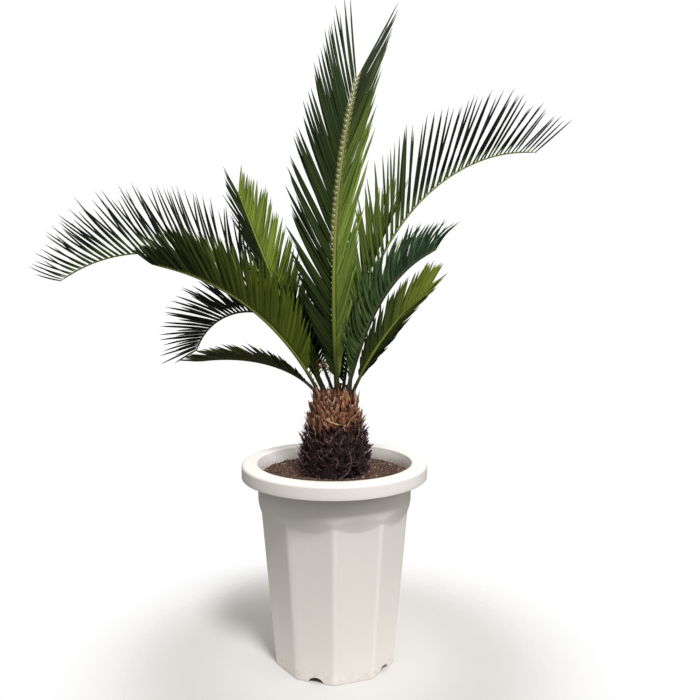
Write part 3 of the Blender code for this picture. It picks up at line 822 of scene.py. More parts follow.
def strip_material():
    """Papery torn strips of the leaf bases: pinkish straw to rust."""
    material, start, shader = new_material("torn_strip", {"Specular IOR Level": 0.2})
    place = start.here()
    blank = start.read("blank", "Vector")
    tint = start.read("tint")
    streak = (blank * (2.0, 1.0, 1.0) + place * 30.0).grain(6.0, 3.0, 0.6)
    colour = (tint * 0.85 + streak * 0.3).step(0.25, 0.80).mix((0.120, 0.040, 0.018), (0.56, 0.36, 0.26))
    low = 1.0 - place.axis(2).step(0.325, 0.350)
    paint(shader, (low * 0.80).mix(colour, (0.040, 0.020, 0.024)), 0.6 + streak * 0.3)
    roughen(start, shader, streak, 0.5, 0.0008)
    return material


def fibre_tree(material):
    """Fine bent hairs that stand off the stem at all angles."""
    tree, start, given = new_growth("stem fibres", {
        "Count": 100, "Low Height": 0.277, "High Height": 0.36, "Shortest": 0.005, "Longest": 0.014,
        "Thickness": 0.0005, "Stand Off": 0.35, "Upwards": 0.2, "Off": 0.0015, "Seed": 1})
    seats = start.node("GeometryNodeMeshLine", None, {"Count": given["Count"]})
    height = chance(start, given["Low Height"], given["High Height"], given["Seed"])
    turn = chance(start, 0.0, 2 * math.pi, given["Seed"] + 1)
    out, sideways, above = stem_directions(start, turn)
    swing = chance(start, -1.0, 1.0, given["Seed"] + 2)
    lift = chance(start, -0.6, 1.0, given["Seed"] + 3) + given["Upwards"]
    ahead = unit(out * given["Stand Off"] + sideways * swing + above * lift)
    seats = keep(seats,
                 seat=out * (stem_radius(height) + given["Off"]) + above * height,
                 ahead=ahead,
                 face=unit(ahead.cross(out)),
                 length=chance(start, given["Shortest"], given["Longest"], given["Seed"] + 4),
                 bend=chance(start, -0.5, 0.5, given["Seed"] + 5),
                 tint=chance(start, 0.0, 1.0, given["Seed"] + 6))
    hairs = blade(start, seats, 3, 5)
    blank, ahead, face = (kept_vector(start, name) for name in ("blank", "ahead", "face"))
    wide = ahead.cross(face)
    along, length, bend = blank.axis(2), kept(start, "length"), kept(start, "bend")
    half = given["Thickness"] * 0.5 * (1.0 - along * 0.75)
    spot = (kept_vector(start, "seat") + ahead * (length * along)
            + wide * (length * bend * along ** 2.0) + face * (length * bend * 0.6 * along ** 3.0)
            + wide * (half * blank.axis(0)) + face * (half * blank.axis(1)))
    end_growth(place_blades(hairs, spot, material))
    return tree


def fibre_material():
    """Purplish black hairs, with a paler one here and there."""
    material, start, shader = new_material("stem_fibre", {"Specular IOR Level": 0.3})
    place = start.here()
    share = (start.read("tint") + place.grain(300.0) * 0.2).step(0.55, 1.05)
    paint(shader, share.mix((0.012, 0.004, 0.008), (0.36, 0.24, 0.27)), 0.6 + place.grain(500.0) * 0.3)
    return material


def pale_fibre_material():
    """Pinkish grey threads and roots."""
    material, start, shader = new_material("pale_fibre", {"Specular IOR Level": 0.3})
    place = start.here()
    share = start.read("tint") * 0.7 + place.grain(260.0) * 0.4
    paint(shader, share.mix((0.09, 0.055, 0.062), (0.46, 0.34, 0.34)), 0.55 + place.grain(500.0) * 0.3)
    return material


def bark_material():
    """The nearly black stem that shows between its stubs, a little browner towards the crown."""
    material, start, shader = new_material("stem_bark", {"Specular IOR Level": 0.25})
    place = start.here()
    shaggy = (place * (1.0, 1.0, 0.35)).grain(240.0, 4.0, 0.65)
    low = shaggy.mix((0.006, 0.003, 0.003), (0.030, 0.016, 0.018))
    high = shaggy.mix((0.016, 0.006, 0.004), (0.080, 0.032, 0.018))
    paint(shader, place.axis(2).step(0.33, 0.36).mix(low, high), 0.75 + shaggy * 0.2)
    roughen(start, shader, shaggy, 0.8, 0.0015)
    return material


# A strand's section, round from one edge: (across, outwards), each from -1 to 1.
STRAND_SECTION = ((-1, 0), (-0.5, 0.6), (0.5, 0.6), (1, 0), (0.4, -0.6), (-0.4, -0.6))


def strand(name, path, widths, thickness):
    """A closed strip along a path of points that lie near the stem, flat against it."""
    points, starts = [], []
    path = [Vector(point) for point in path]
    for index, (spot, width) in enumerate(zip(path, widths)):
        ahead = (path[min(index + 1, len(path) - 1)] - path[max(index - 1, 0)]).normalized()
        out = Vector((spot.x, spot.y, 0.0)).normalized()
        across = ahead.cross(out).normalized()
        starts.append(len(points))
        for side, level in STRAND_SECTION:
            points.append(spot + across * side * width / 2 + out * level * thickness)
    return add_mesh(name, points, capped_rings(starts, len(STRAND_SECTION)), 70)


def on_stem(turn, height, off):
    """A point on the stem's shaggy face, off it by a distance. Turn is in degrees from +X."""
    return polar(trunk_radius(height) + off, math.radians(turn), height)


def smooth_path(points, steps):
    """A curve through given (turn, height, off) points."""
    points = np.array(points, float)
    at = np.linspace(0, len(points) - 1, steps)
    ends = np.vstack([2 * points[0] - points[1], points, 2 * points[-1] - points[-2]])
    path = []
    for place in at:
        index = min(int(place), len(points) - 2)
        t = place - index
        a, b, c, d = ends[index:index + 4]
        path.append(0.5 * (2 * b + (c - a) * t + (2 * a - 5 * b + 4 * c - d) * t ** 2
                           + (3 * b - a - 3 * c + d) * t ** 3))
    return [on_stem(*point) for point in path]


def straw_material():
    """Dry leaf, straw-coloured and streaked along."""
    material, start, shader = new_material("dry_straw", {"Specular IOR Level": 0.35})
    place = start.here()
    streak = (place * (1.0, 1.0, 3.0)).grain(260.0, 3.0)
    paint(shader, streak.step(0.25, 0.8).mix((0.30, 0.19, 0.085), (0.66, 0.49, 0.27)), 0.45 + streak * 0.3)
    roughen(start, shader, streak, 0.4, 0.0006)
    return material


def cover_stem(name, tree, sizes):
    """One kind of growth all round the stem."""
    dress(grow(name, tree, sizes), "trunk")


dress(make_trunk_core(), "trunk", bark_material())
stub_look = stub_material()
cover_stem("leaf_stubs", stub_tree(stub_look), {
    "Count": STUB_COUNT, "Low Height": SOIL_HEIGHT + 0.002, "High Height": 0.356,
    "Low Length": 0.0110, "High Length": 0.0150, "Low Tilt": 0.80, "High Tilt": 1.20,
    "Low Width": 0.0064, "High Width": 0.0052, "Thickness": 0.0026, "Outwards": 0.0052, "Scatter": 0.05,
    "Sideways": 0.55, "Curl": -0.02, "Curl Range": 0.16, "Ragged": 0.0062})
cover_stem("leaf_base_plates", stub_tree(plate_material()), {
    "Count": PLATE_COUNT, "Low Height": 0.342, "High Height": CROWN_HEIGHT - 0.016,
    "Low Length": 0.0200, "High Length": 0.0250, "Low Tilt": 1.50, "High Tilt": 1.58,
    "Low Width": 0.0082, "High Width": 0.0078, "Thickness": 0.0014, "Outwards": 0.0042, "Scatter": 0.30,
    "Sideways": 0.20, "Curl": 0.00, "Curl Range": 0.05, "Ragged": 0.0075, "Blunt": 0.65, "Seed": 23})
cover_stem("torn_strips", stub_tree(strip_material()), {
    "Count": STRIP_COUNT, "Low Height": 0.326, "High Height": CROWN_HEIGHT - 0.012,
    "Low Length": 0.0120, "High Length": 0.0180, "Low Tilt": 1.30, "High Tilt": 1.52,
    "Low Width": 0.0026, "High Width": 0.0030, "Thickness": 0.0009, "Outwards": 0.0085, "Scatter": 0.9,
    "Sideways": 0.50, "Curl": 0.04, "Curl Range": 0.24, "Ragged": 0.0030, "Seed": 40})
cover_stem("crown_scales", stub_tree(stub_look), {
    "Count": CROWN_SCALE_COUNT, "Low Height": CROWN_HEIGHT - 0.008, "High Height": CROWN_HEIGHT - 0.004,
    "Low Length": 0.010, "High Length": 0.017, "Low Tilt": 1.25, "High Tilt": 1.50,
    "Low Width": 0.0040, "High Width": 0.0030, "Thickness": 0.0016, "Inwards": 0.024, "Seed": 70})
fibre_look = fibre_material()
cover_stem("trunk_fibres", fibre_tree(fibre_look), {"Count": FIBRE_COUNT, "Seed": 20})
cover_stem("trunk_long_fibres", fibre_tree(fibre_look), {
    "Count": 70, "Low Height": 0.285, "High Height": 0.362, "Shortest": 0.008, "Longest": 0.017,
    "Thickness": 0.0010, "Stand Off": 0.9, "Upwards": 0.8, "Seed": 61})
pale_look = pale_fibre_material()
cover_stem("trunk_pale_fibres", fibre_tree(pale_look), {
    "Count": 220, "Low Height": 0.282, "High Height": 0.352, "Shortest": 0.004, "Longest": 0.011,
    "Thickness": 0.0006, "Stand Off": 0.25, "Upwards": 0.1, "Off": 0.0065, "Seed": 83})

# One torn strip of dry straw lies across the front of the stem, and two thin pale roots hang
# down it to the soil. Each is one closed strip, flat against the stem.

# Paths on the stem's face: (turn in degrees, height, how far off the stem).
STRAW_PATH = ((254, 0.3610, 0.0085), (264, 0.3580, 0.0095), (274, 0.3555, 0.0100), (284, 0.3540, 0.0090))
STRAW_STEPS = 14
STRAW_END_WIDTH = 0.0006
STRAW_SWELL = 0.0018
STRAND_THICKNESS = 0.0004
ROOT_WIDTH = 0.0009
straw_look = straw_material()
straw_widths = [STRAW_END_WIDTH + STRAW_SWELL * math.sin(math.pi * min(1, step / 11))
                for step in range(STRAW_STEPS)]
straw = strand("torn_straw", smooth_path(STRAW_PATH, STRAW_STEPS), straw_widths, STRAND_THICKNESS)
dress(straw, "trunk", straw_look)
ROOT_PATHS = (
    ((268, 0.309, 0.0075), (273, 0.3075, 0.009), (275, 0.303, 0.0095), (272, 0.299, 0.0095),
     (273, 0.2955, 0.0085)),
    ((294, 0.318, 0.0075), (295.5, 0.306, 0.0085), (294, 0.296, 0.008), (290, 0.289, 0.0085),
     (284, 0.2845, 0.0095), (276, 0.2810, 0.0110)),
)
for number, path in enumerate(ROOT_PATHS, 1):
    steps = 6 * len(path)
    root = strand(f"pale_root_{number}", smooth_path(path, steps), [ROOT_WIDTH] * steps, STRAND_THICKNESS)
    dress(root, "trunk", pale_look)

# A frond is one stiff feather leaf: a petiole seated in the crown, a rib that bends over, and
# narrow leathery leaflets that rise from its two sides in a V. Below them the petiole carries
# short spines. Each frond is grown whole from its own few sizes.

# Seat is where the petiole stands in the crown. Heading is the way that the rib goes, and Swing how
# far it has turned from that at its tip. Lean and Arch are its tilt from upright at root and tip,
# and a Bend over 1 brings the tilt later. Roll and Twist turn it about itself, all along and at its
# tip. Fore is how far the leaflets open from the rib, and Right Closer how much less they do on
# the right. Rise is how steeply they stand up from the rib's two sides, and Forward Bend how far
# they bow to its tip. Bare is the share of the rib that has only spines.
FROND_SIZES = {
    "Seat": (0.0, 0.0, CROWN_HEIGHT), "Heading": 0.0, "Swing": 0.0, "Lean": 0.2, "Arch": 1.0, "Bend": 1.0,
    "Length": 0.3, "Roll": 0.0, "Twist": 0.0, "Leaf": 0.1, "Leaf At Tip": 0.6, "Rise": 0.8,
    "Fore At Root": 1.0, "Fore At Tip": 0.4, "Right Closer": 0.0, "Pairs": 40, "Width": 0.005,
    "Forward Bend": 0.1, "Petiole": 0.006, "Bare": 0.16, "Seed": 1,
}
RIB_STEPS = 80
RIB_SIDES = 10
RIB_WIDTH_TIP = 0.0024
RIB_NARROWING = 0.7
RIB_HEIGHT_SHARE = 0.85
PETIOLE_DEPTH = 0.009
FIRST_SPINE = 0.05
# The leaflets of a pair sit apart by twice this share of a step, and the steps grow to the tip.
PAIR_STAGGER = 0.22
STEP_GROWTH = 1.12
# A spine's length and width as shares of the longest and widest leaflet's, and the share of
# spines that stand.
SPINE_LENGTH = 0.035
SPINE_WIDTH = 0.35
SPINES_LEFT = 0.45
LEAFLET_HALF_THICKNESS = 0.00055
# How steeply the channel sinks into the upper face, and how far an edge rolls down in half widths.
CHANNEL_DEPTH = 1.8
EDGE_ROLL = 0.35
# Leaflet length as a share of the longest, from the first full leaflet to the rib's tip.
LEAF_SHARES = ((0, 0.30), (0.06, 0.55), (0.2, 0.85), (0.45, 1.0), (0.7, 0.97), (1, 1.0))
# Leaflet width as a share of the widest, from root to point.
LEAFLET_OUTLINE = ((0, 0.62), (0.06, 0.70), (0.25, 1.0), (0.62, 0.90), (0.88, 0.50), (1, 0.03))


def rib_directions(start, given, place):
    """The rib's own directions at a place along it: ahead, up out of its upper face, and across."""
    lean = between(given["Lean"], given["Arch"], place ** given["Bend"])
    heading = given["Heading"] + given["Swing"] * place ** 1.3
    roll = given["Roll"] + given["Twist"] * place ** 3.0
    out = vector(start, cosine(heading), sine(heading), 0.0)
    ahead = out * sine(lean) + vector(start, 0.0, 0.0, cosine(lean))
    up = vector(start, 0.0, 0.0, sine(lean)) - out * cosine(lean)
    across = ahead.cross(up)
    return ahead, up * cosine(roll) + across * sine(roll), across * cosine(roll) - up * sine(roll)


def half_rib(given, place):
    """Half the rib's width at a place along it."""
    return 0.5 * between(given["Petiole"], RIB_WIDTH_TIP, place ** RIB_NARROWING)


def frond_tree(any_look):
    """A rib along its own arch, with spines and leaflets by turns on its two sides."""
    tree, start, given = new_growth("frond", {**FROND_SIZES, "Leaflet Look": any_look, "Rib Look": any_look})
    index = start.node("GeometryNodeInputIndex")

    # The rib's middle line: equal short steps, each in the rib's direction there.
    ahead, _, _ = rib_directions(start, given, (index + 0.5) / RIB_STEPS)
    settings = {"data_type": "FLOAT_VECTOR", "domain": "POINT"}
    reached = start.node("GeometryNodeAccumulateField", settings,
                         {"Value": ahead * (given["Length"] / RIB_STEPS)}, "Trailing")
    line = start.node("GeometryNodeMeshLine", None, {"Count": RIB_STEPS + 1})
    line = start.node("GeometryNodeSetPosition", None,
                      {"Geometry": line, "Position": reached + given["Seat"]})
    line = start.node("GeometryNodeMeshToCurve", None, {"Mesh": line})

    def on_rib(place):
        settings = {"mode": "FACTOR", "use_all_curves": True}
        return start.node("GeometryNodeSampleCurve", settings, {"Curves": line, "Factor": place}, "Position")

    # The rib itself, from inside the crown to its tip.
    blank = start.node("GeometryNodeInputPosition")
    sunk = PETIOLE_DEPTH / given["Length"]
    place = (blank.axis(2) + 0.5) * (1.0 + sunk) - sunk
    held = place.clamped()
    ahead, up, across = rib_directions(start, given, held)
    half = half_rib(given, held) * (1.0 - place.step(0.96, 1.0) * 0.7)
    spot = (on_rib(held) + ahead * ((place - held) * given["Length"])
            + across * (half * blank.axis(1)) + up * (half * RIB_HEIGHT_SHARE * blank.axis(0)))
    rib = keep(blank_tube(start, RIB_SIDES, RIB_STEPS),
               blank=vector(start, blank.axis(1), blank.axis(0), held))
    rib = place_blades(rib, spot, given["Rib Look"])

    # The leaflets, left and right by turns. Below the first full one they shrink to spines.
    seats = start.node("GeometryNodeMeshLine", None, {"Count": given["Pairs"] * 2})
    odd = index.maths("MODULO", index, 2.0)
    side = odd * 2.0 - 1.0
    share = ((index - odd) * 0.5 + 0.5 + side * PAIR_STAGGER) / given["Pairs"]
    place = FIRST_SPINE + (1.0 - FIRST_SPINE) * share ** STEP_GROWTH
    ahead, up, across = rib_directions(start, given, place)
    bare = given["Bare"]
    how_far = ((place - bare) / (1.0 - bare)).clamped()
    fore = between(given["Fore At Root"], given["Fore At Tip"], how_far)
    fore = fore * (1.0 - given["Right Closer"] * (side * 0.5 + 0.5))
    fore = fore + chance(start, -0.05, 0.05, given["Seed"])
    rise = given["Rise"] + chance(start, -0.09, 0.09, given["Seed"] + 1)
    out = across * (side * cosine(rise)) + up * sine(rise)
    direction = ahead * cosine(fore) + out * sine(fore)
    full = curve_of(how_far, LEAF_SHARES)
    full = full * (1.0 - (1.0 - given["Leaf At Tip"]) * how_far.step(0.7, 1.0))
    spine = (place - bare).step(-0.07, 0.04)
    length = given["Leaf"] * (SPINE_LENGTH + (full - SPINE_LENGTH) * spine)
    length = length * (1.0 + chance(start, -0.09, 0.03, given["Seed"] + 2))
    width = given["Width"] * (SPINE_WIDTH + (1.0 - SPINE_WIDTH) * spine)
    width = width * (1.0 - 0.35 * how_far.step(0.75, 1.0))
    rib_half = half_rib(given, place)
    # Spines stand only here and there on the petiole.
    lost = chance(start, 0.0, 1.0, given["Seed"] + 6) * (1.0 - (place - bare).step(-0.05, 0.01))
    lost = lost.maths("GREATER_THAN", lost, SPINES_LEFT)
    seats = keep(seats,
                 seat=on_rib(place) + across * (side * rib_half * 0.55) + up * (rib_half * 0.35),
                 ahead=direction,
                 face=unit(direction.cross(ahead)) * side,
                 forward=unit(ahead - direction * cosine(fore)),
                 length=length,
                 width=width,
                 side=side,
                 place=place,
                 bend=1.0 + chance(start, -0.6, 0.6, given["Seed"] + 3),
                 tint=chance(start, 0.0, 1.0, given["Seed"] + 4))
    seats = start.node("GeometryNodeDeleteGeometry", {"domain": "POINT"},
                       {"Geometry": seats, "Selection": lost})
    leaves = blade(start, seats, 6, 8, 1.2)
    blank, direction, face = (kept_vector(start, name) for name in ("blank", "ahead", "face"))
    wide = direction.cross(face)
    along, length = blank.axis(2), kept(start, "length")
    half = kept(start, "width") * 0.5 * curve_of(along, LEAFLET_OUTLINE)
    thick = LEAFLET_HALF_THICKNESS * (1.0 - 0.7 * along)
    # The upper face has a channel down its middle, and both edges roll down.
    through = blank.axis(1) - (blank.axis(1) - 0.5).clamped() * CHANNEL_DEPTH
    rolled = blank.axis(0).absolute() * half * EDGE_ROLL
    bow = length * given["Forward Bend"] * kept(start, "bend") * along ** 2.2
    spot = (kept_vector(start, "seat") + direction * (length * along) + kept_vector(start, "forward") * bow
            + wide * (half * blank.axis(0)) + face * (thick * through - rolled))
    leaves = place_blades(leaves, spot, given["Leaflet Look"])
    both = start.node("GeometryNodeJoinGeometry")
    rib.feed(both.socket.node.inputs[0])
    leaves.feed(both.socket.node.inputs[0])
    end_growth(both)
    return tree


def rib_material(name, dark, light, upper):
    """Green and smooth, paler above, browner where the petiole leaves the crown."""
    material, start, shader = new_material(name, {"Specular IOR Level": 0.45, "Coat Weight": 0.1})
    place = start.here()
    blank = start.read("blank", "Vector")
    along = blank.axis(2)
    mottle = place.grain(55.0, 3.0)
    green = mottle.mix(dark, light)
    above = blank.axis(1).step(-0.2, 0.9)
    colour = (above * along.step(0.15, 0.4) * 0.6).mix(green, upper)
    stalk = 1.0 - along.step(0.06, 0.20)
    colour = (stalk * 0.92).mix(colour, (0.030, 0.040, 0.010))
    low = 1.0 - along.step(0.02, 0.11)
    colour = (low * 0.7).mix(colour, (0.045, 0.020, 0.010))
    down = (place * (1.0, 1.0, 0.3)).grain(420.0, 3.0).step(0.55, 0.8)
    paint(shader, (down * low * 0.5).mix(colour, (0.20, 0.13, 0.08)), 0.36 + mottle * 0.2)
    roughen(start, shader, (blank * (2.0, 2.0, 30.0)).grain(9.0, 2.0), 0.2, 0.0006)
    return material


def leaf_material(name, left, right, tip, tip_reach, root_colour, root_reach, pale_from):
    """A waxy leaflet: a tone for each side of the frond and one for its tip, which paint light and shade on
    it, streaked along, with a paler channel and root, edges painted darker as shade, and a dry point. Its
    root is pale from a place along the rib onwards."""
    material, start, shader = new_material(name, {"Specular IOR Level": 0.16})
    place = start.here()
    blank = start.read("blank", "Vector")
    side = start.read("side")
    tint = start.read("tint")
    where = start.read("place")
    across, along = blank.axis(0), blank.axis(2)
    # The side tones are painted light and shade: one half of the frond is painted as lit and the other as
    # shaded, and the tip tone paints the light and shade of its far part.
    colour = (side * 0.5 + 0.5).mix(left, right)
    colour = where.step(*tip_reach).mix(colour, tip)
    # The lowest leaflets, crowded and shaded, are the darkest.
    colour = colour.times((0.36, 0.42, 0.46), (1.0 - where.step(0.10, 0.48)) * 0.5)
    cloud = place.grain(16.0, 2.0)
    streak = (blank * (5.0, 1.0, 2.5) + place * 8.0).grain(6.0, 3.0, 0.6)
    deeper = colour.times((0.28, 0.33, 0.42))
    lighter = colour.times((1.70, 1.52, 1.25))
    shade = (tint * 0.5 + cloud * 0.5 + (streak - 0.5) * 0.6).clamped()
    colour = shade.mix(deeper, lighter)
    off_middle = across.absolute()
    channel = (1.0 - off_middle.step(0.04, 0.16)) * (1.0 - along.step(0.5, 1.0))
    colour = (channel * 0.5).mix(colour, lighter)
    # The edges are painted darker: a painted shade where they roll down.
    colour = (off_middle.step(0.60, 0.95) * 0.6).mix(colour, deeper)
    root = (1.0 - along.step(root_reach * 0.4, root_reach)) * where.step(pale_from - 0.06, pale_from + 0.04)
    colour = root.mix(colour, root_colour)
    dry = along.step(0.955, 1.0) * tint.step(0.25, 0.6)
    paint(shader, (dry * 0.8).mix(colour, (0.11, 0.065, 0.028)), 0.32 + streak * 0.18 + cloud * 0.08)
    roughen(start, shader, (blank * (26.0, 1.0, 1.2) + place * 5.0).grain(5.0, 2.0), 0.25, 0.0005)
    return material


# What a frond has where its own entry below says nothing. Turns are in degrees, sizes in metres.
USUAL_FROND = dict(swing=0, roll=0, twist=0, closer=0.0, petiole=0.0062, bare=0.16,
                   tip_reach=(0.30, 0.90), pale_from=0.2, dark_rib=False)
# The left, right and tip tones below hold painted light and shade as well as leaf colour: lit halves and tips
# are painted paler, shaded ones darker, and the fronds low and behind are painted darkest.
FRONDS = {
    "frond_01_tall": dict(
        seat=(300, 0.009), heading=60, lean=-8, arch=26, bend=1.2, length=0.475,
        roll=22, twist=14, petiole=0.0090, bare=0.09,
        pairs=58, leaf=0.137, leaf_tip=0.94, width=0.0076, rise=40, fore=(38, 29), closer=0.25, forward=0.03,
        left=(0.026, 0.046, 0.011), right=(0.35, 0.55, 0.11), tip=(0.022, 0.045, 0.014),
        root=(0.62, 0.60, 0.30), root_reach=0.088, pale_from=0.45, slot="deep_green_leaf"),
    "frond_02_far_left": dict(
        seat=(125, 0.024), heading=155, lean=23, arch=118, bend=0.93, length=0.61,
        pairs=52, leaf=0.139, leaf_tip=0.55, width=0.0046, rise=80, fore=(44, 37), forward=-0.08,
        left=(0.014, 0.022, 0.007), right=(0.015, 0.024, 0.007), tip=(0.016, 0.026, 0.009),
        root=(0.085, 0.120, 0.025), root_reach=0.40, slot="deep_green_leaf"),
    "frond_03_left_front": dict(
        seat=(215, 0.025), heading=203, lean=28, arch=80, bend=1.2, length=0.305,
        petiole=0.0070,
        pairs=64, leaf=0.090, leaf_tip=0.38, width=0.0056, rise=68, fore=(55, 32), forward=0.05,
        left=(0.105, 0.150, 0.018), right=(0.120, 0.168, 0.019), tip=(0.026, 0.040, 0.010),
        root=(0.20, 0.24, 0.04), root_reach=0.06, slot="olive_green_leaf"),
    "frond_04_left_upright": dict(
        seat=(150, 0.016), heading=180, lean=26, arch=20, bend=1.0, length=0.315,
        roll=-36, petiole=0.0085, bare=0.11,
        pairs=72, leaf=0.088, leaf_tip=0.50, width=0.0054, rise=17, fore=(48, 26), closer=-0.12, forward=0.04,
        left=(0.014, 0.024, 0.007), right=(0.155, 0.238, 0.023), tip=(0.130, 0.195, 0.022),
        tip_reach=(0.75, 1.60), root=(0.26, 0.32, 0.05), root_reach=0.06, slot="bright_green_leaf"),
    "frond_05_left_low": dict(
        seat=(180, 0.026), heading=188, lean=24, arch=98, bend=0.5, length=0.185,
        pairs=34, leaf=0.050, leaf_tip=0.60, width=0.0046, rise=50, fore=(34, 18), forward=0.10,
        left=(0.056, 0.070, 0.020), right=(0.060, 0.078, 0.023), tip=(0.054, 0.068, 0.024),
        root=(0.05, 0.06, 0.02), root_reach=0.10, dark_rib=True, slot="deep_green_leaf"),
    "frond_06_left_behind": dict(
        seat=(97, 0.015), heading=167, lean=19, arch=163, bend=1.5, length=0.300,
        pairs=54, leaf=0.084, leaf_tip=0.70, width=0.0046, rise=62, fore=(62, 52), forward=0.06,
        left=(0.010, 0.013, 0.008), right=(0.011, 0.015, 0.009), tip=(0.009, 0.012, 0.008),
        root=(0.03, 0.04, 0.02), root_reach=0.10, dark_rib=True, slot="deep_green_leaf"),
    "frond_07_far_right": dict(
        seat=(25, 0.025), heading=22, lean=3, arch=90, bend=1.25, length=0.55,
        bare=0.10,
        pairs=38, leaf=0.140, leaf_tip=0.66, width=0.0046, rise=84, fore=(31, 39), forward=0.0,
        left=(0.180, 0.285, 0.058), right=(0.145, 0.225, 0.046), tip=(0.003, 0.005, 0.003),
        tip_reach=(0.20, 0.62), root=(0.08, 0.12, 0.025), root_reach=0.2, slot="deep_green_leaf"),
    "frond_08_right_middle": dict(
        seat=(322, 0.021), heading=354, lean=16, arch=66, bend=2.2, length=0.250,
        petiole=0.0072, bare=0.13,
        pairs=62, leaf=0.074, leaf_tip=0.70, width=0.0054, rise=50, fore=(62, 50), forward=0.36,
        left=(0.105, 0.190, 0.058), right=(0.090, 0.160, 0.052), tip=(0.072, 0.152, 0.086),
        root=(0.34, 0.40, 0.24), root_reach=0.08, pale_from=0.3, dark_rib=True, slot="blue_green_leaf"),
    "frond_09_right_low": dict(
        seat=(354, 0.0255), heading=340, swing=-22, lean=24, arch=52, bend=1.0, length=0.205,
        roll=60,
        pairs=50, leaf=0.066, leaf_tip=0.55, width=0.0056, rise=20, fore=(38, 24), forward=0.08,
        left=(0.052, 0.076, 0.019), right=(0.030, 0.044, 0.012), tip=(0.240, 0.330, 0.046),
        tip_reach=(0.45, 0.95), root=(0.24, 0.28, 0.05), root_reach=0.08, slot="olive_green_leaf"),
    "frond_10_behind": dict(
        seat=(60, 0.025), heading=45, lean=10, arch=36, bend=1.0, length=0.295,
        bare=0.07,
        pairs=40, leaf=0.110, leaf_tip=0.70, width=0.0058, rise=50, fore=(40, 18), forward=0.05,
        left=(0.050, 0.085, 0.018), right=(0.060, 0.100, 0.020), tip=(0.13, 0.21, 0.032),
        root=(0.20, 0.26, 0.06), root_reach=0.10, slot="bright_green_leaf"),
}

rib_look = rib_material("frond_rib", (0.110, 0.150, 0.020), (0.210, 0.260, 0.040), (0.31, 0.36, 0.08))
# The dark rib is painted shade, for fronds whose rib lies in shade.
dark_rib_look = rib_material("frond_dark_rib",
                             (0.020, 0.028, 0.008), (0.040, 0.050, 0.014), (0.05, 0.06, 0.02))
frond_growth = frond_tree(rib_look)
for number, (node, own) in enumerate(FRONDS.items(), 1):
    frond = {**USUAL_FROND, **own}
    look = leaf_material(node + "_leaflets", frond["left"], frond["right"], frond["tip"],
                         frond["tip_reach"], frond["root"], frond["root_reach"], frond["pale_from"])
    sizes = {name: math.radians(frond[name.lower()])
             for name in ("Heading", "Swing", "Lean", "Arch", "Roll", "Twist", "Rise")}
    sizes |= {name: frond[name.lower()]
              for name in ("Bend", "Length", "Leaf", "Petiole", "Bare", "Pairs", "Width")}
    sizes |= {
        "Seat": polar(frond["seat"][1], math.radians(frond["seat"][0]), CROWN_HEIGHT),
        "Leaf At Tip": frond["leaf_tip"], "Fore At Root": math.radians(frond["fore"][0]),
        "Fore At Tip": math.radians(frond["fore"][1]), "Right Closer": frond["closer"],
        "Forward Bend": frond["forward"], "Seed": 100 * number, "Leaflet Look": look,
        "Rib Look": dark_rib_look if frond["dark_rib"] else rib_look}
    dress(grow(node + "_leaves", frond_growth, sizes), node)

# The lowest leaflets of the upright left frond have dried up. They are thin tan strips, still
# fixed to the front of its petiole, and curl over to the right.

DRY_LEAFLETS = 7
DRY_STEPS = 12
DRY_WIDTH = 0.0024
DRY_THICKNESS = 0.0003
DRY_FOOT_RISE = 0.027
DRY_SPACING = 0.0018
# The petiole's place at the crown's height, and how far it leans to the left for each unit of rise.
PETIOLE_LEFT = -0.0139
PETIOLE_FRONT = 0.006
PETIOLE_LEAN = 0.488
for number in range(DRY_LEAFLETS):
    turn = number * GOLDEN_TURN
    foot_rise = DRY_FOOT_RISE + DRY_SPACING * number
    foot = Vector((PETIOLE_LEFT - PETIOLE_LEAN * foot_rise, PETIOLE_FRONT, CROWN_HEIGHT + foot_rise))
    reach = 0.027 + 0.010 * math.sin(turn)
    forward = 0.018 + 0.006 * math.cos(turn)
    rise = 0.013 + 0.006 * math.cos(turn)
    fall = 0.015 + 0.010 * math.sin(2 * turn)
    shares = np.linspace(0.0, 1.0, DRY_STEPS)
    path = [foot + Vector((reach * t * (1.0 - 0.25 * t), -forward * t,
                           rise * math.sin(2.2 * t) - fall * t ** 3)) for t in shares]
    widths = [DRY_WIDTH * math.sin(0.35 + 2.7 * t) for t in shares]
    leaflet = strand(f"dry_leaflet_{number + 1}", path, widths, DRY_THICKNESS)
    dress(leaflet, "frond_04_left_upright", straw_look)

# The floor is a plain white sheet that the pot stands on, and it fades into the white behind it.
# One soft light stands high on the front right and a weaker, lower one far round on the right.
# A faint glow comes mostly from above.

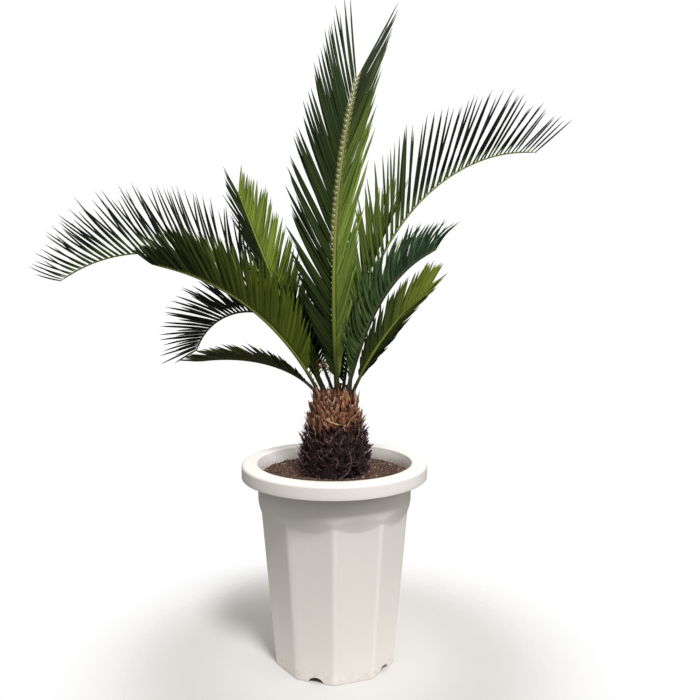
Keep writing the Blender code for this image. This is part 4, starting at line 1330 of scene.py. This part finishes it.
FLOOR_RADIUS = 0.6
FLOOR_DEPTH = 0.02
FLOOR_SIDES = 64
FLOOR_FADES_FROM = 0.12
FLOOR_FADES_TO = 0.42
floor_rim = [polar(FLOOR_RADIUS, t, 0.0) for t in np.linspace(0, 2 * math.pi, FLOOR_SIDES, endpoint=False)]
floor_faces = [tuple(range(FLOOR_SIDES))]
floor_faces += [(step, (step + 1) % FLOOR_SIDES, FLOOR_SIDES) for step in range(FLOOR_SIDES)]
floor = add_mesh("floor", floor_rim + [(0.0, 0.0, -FLOOR_DEPTH)], floor_faces)
floor_look, start, shader = new_material("floor_paper", {"Roughness": 0.9, "Specular IOR Level": 0.1})
place = start.here()
place.grain(3.0).mix((0.60, 0.60, 0.60), (0.62, 0.62, 0.62)).feed(shader.inputs["Base Color"])
faded = place.maths("LENGTH", place).step(FLOOR_FADES_FROM, FLOOR_FADES_TO)
(1.0 - faded).feed(shader.inputs["Alpha"])
floor.data.materials.append(floor_look)

GLOW_ALL_ROUND = 0.14
GLOW_FROM_ABOVE = 0.92
world = bpy.data.worlds.new("studio")
world.use_nodes = True
studio = Wire(world.node_tree)
above = studio.node("ShaderNodeTexCoord", None, None, "Generated").axis(2).clamped()
tent = studio.node("ShaderNodeBackground", None, {
    "Color": (1.0, 0.95, 0.89), "Strength": above * GLOW_FROM_ABOVE + GLOW_ALL_ROUND})
paper = studio.node("ShaderNodeBackground", None, {"Color": (1.0, 1.0, 1.0), "Strength": 1.0})
seen = studio.node("ShaderNodeLightPath", None, None, "Is Camera Ray")
both = studio.node("ShaderNodeMixShader", None, {0: seen, 1: tent, 2: paper})
both.feed(world.node_tree.nodes["World Output"].inputs["Surface"])
bpy.context.scene.world = world
bpy.context.scene.view_settings.view_transform = "Standard"


def add_sun(name, energy, softness, colour, direction):
    """A far light that shines in a direction, as soft as its angle in degrees."""
    lamp = bpy.data.lights.new(name, "SUN")
    lamp.energy = energy
    lamp.angle = math.radians(softness)
    lamp.color = colour
    show(name, lamp).rotation_euler = Vector(direction).to_track_quat("-Z", "Y").to_euler()


add_sun("key", 2.6, 13, (1.0, 0.98, 0.95), (-0.23, 0.54, -0.81))
add_sun("side", 0.35, 25, (1.0, 0.97, 0.93), (-0.85, 0.35, -0.38))

# The camera stands a metre in front of the pot, a little over half a metre up. It is tipped
# slightly down and turned slightly to the right.

CAMERA_PLACE = (0, -1.01, 0.54)
CAMERA_DOWN = 4.75
CAMERA_RIGHT = 1.28
lens = bpy.data.cameras.new("camera")
lens.lens = 36
lens.sensor_width = 36
camera = show("camera", lens)
camera.location = CAMERA_PLACE
camera.rotation_euler = (math.radians(90 - CAMERA_DOWN), 0, math.radians(-CAMERA_RIGHT))
bpy.context.scene.camera = camera
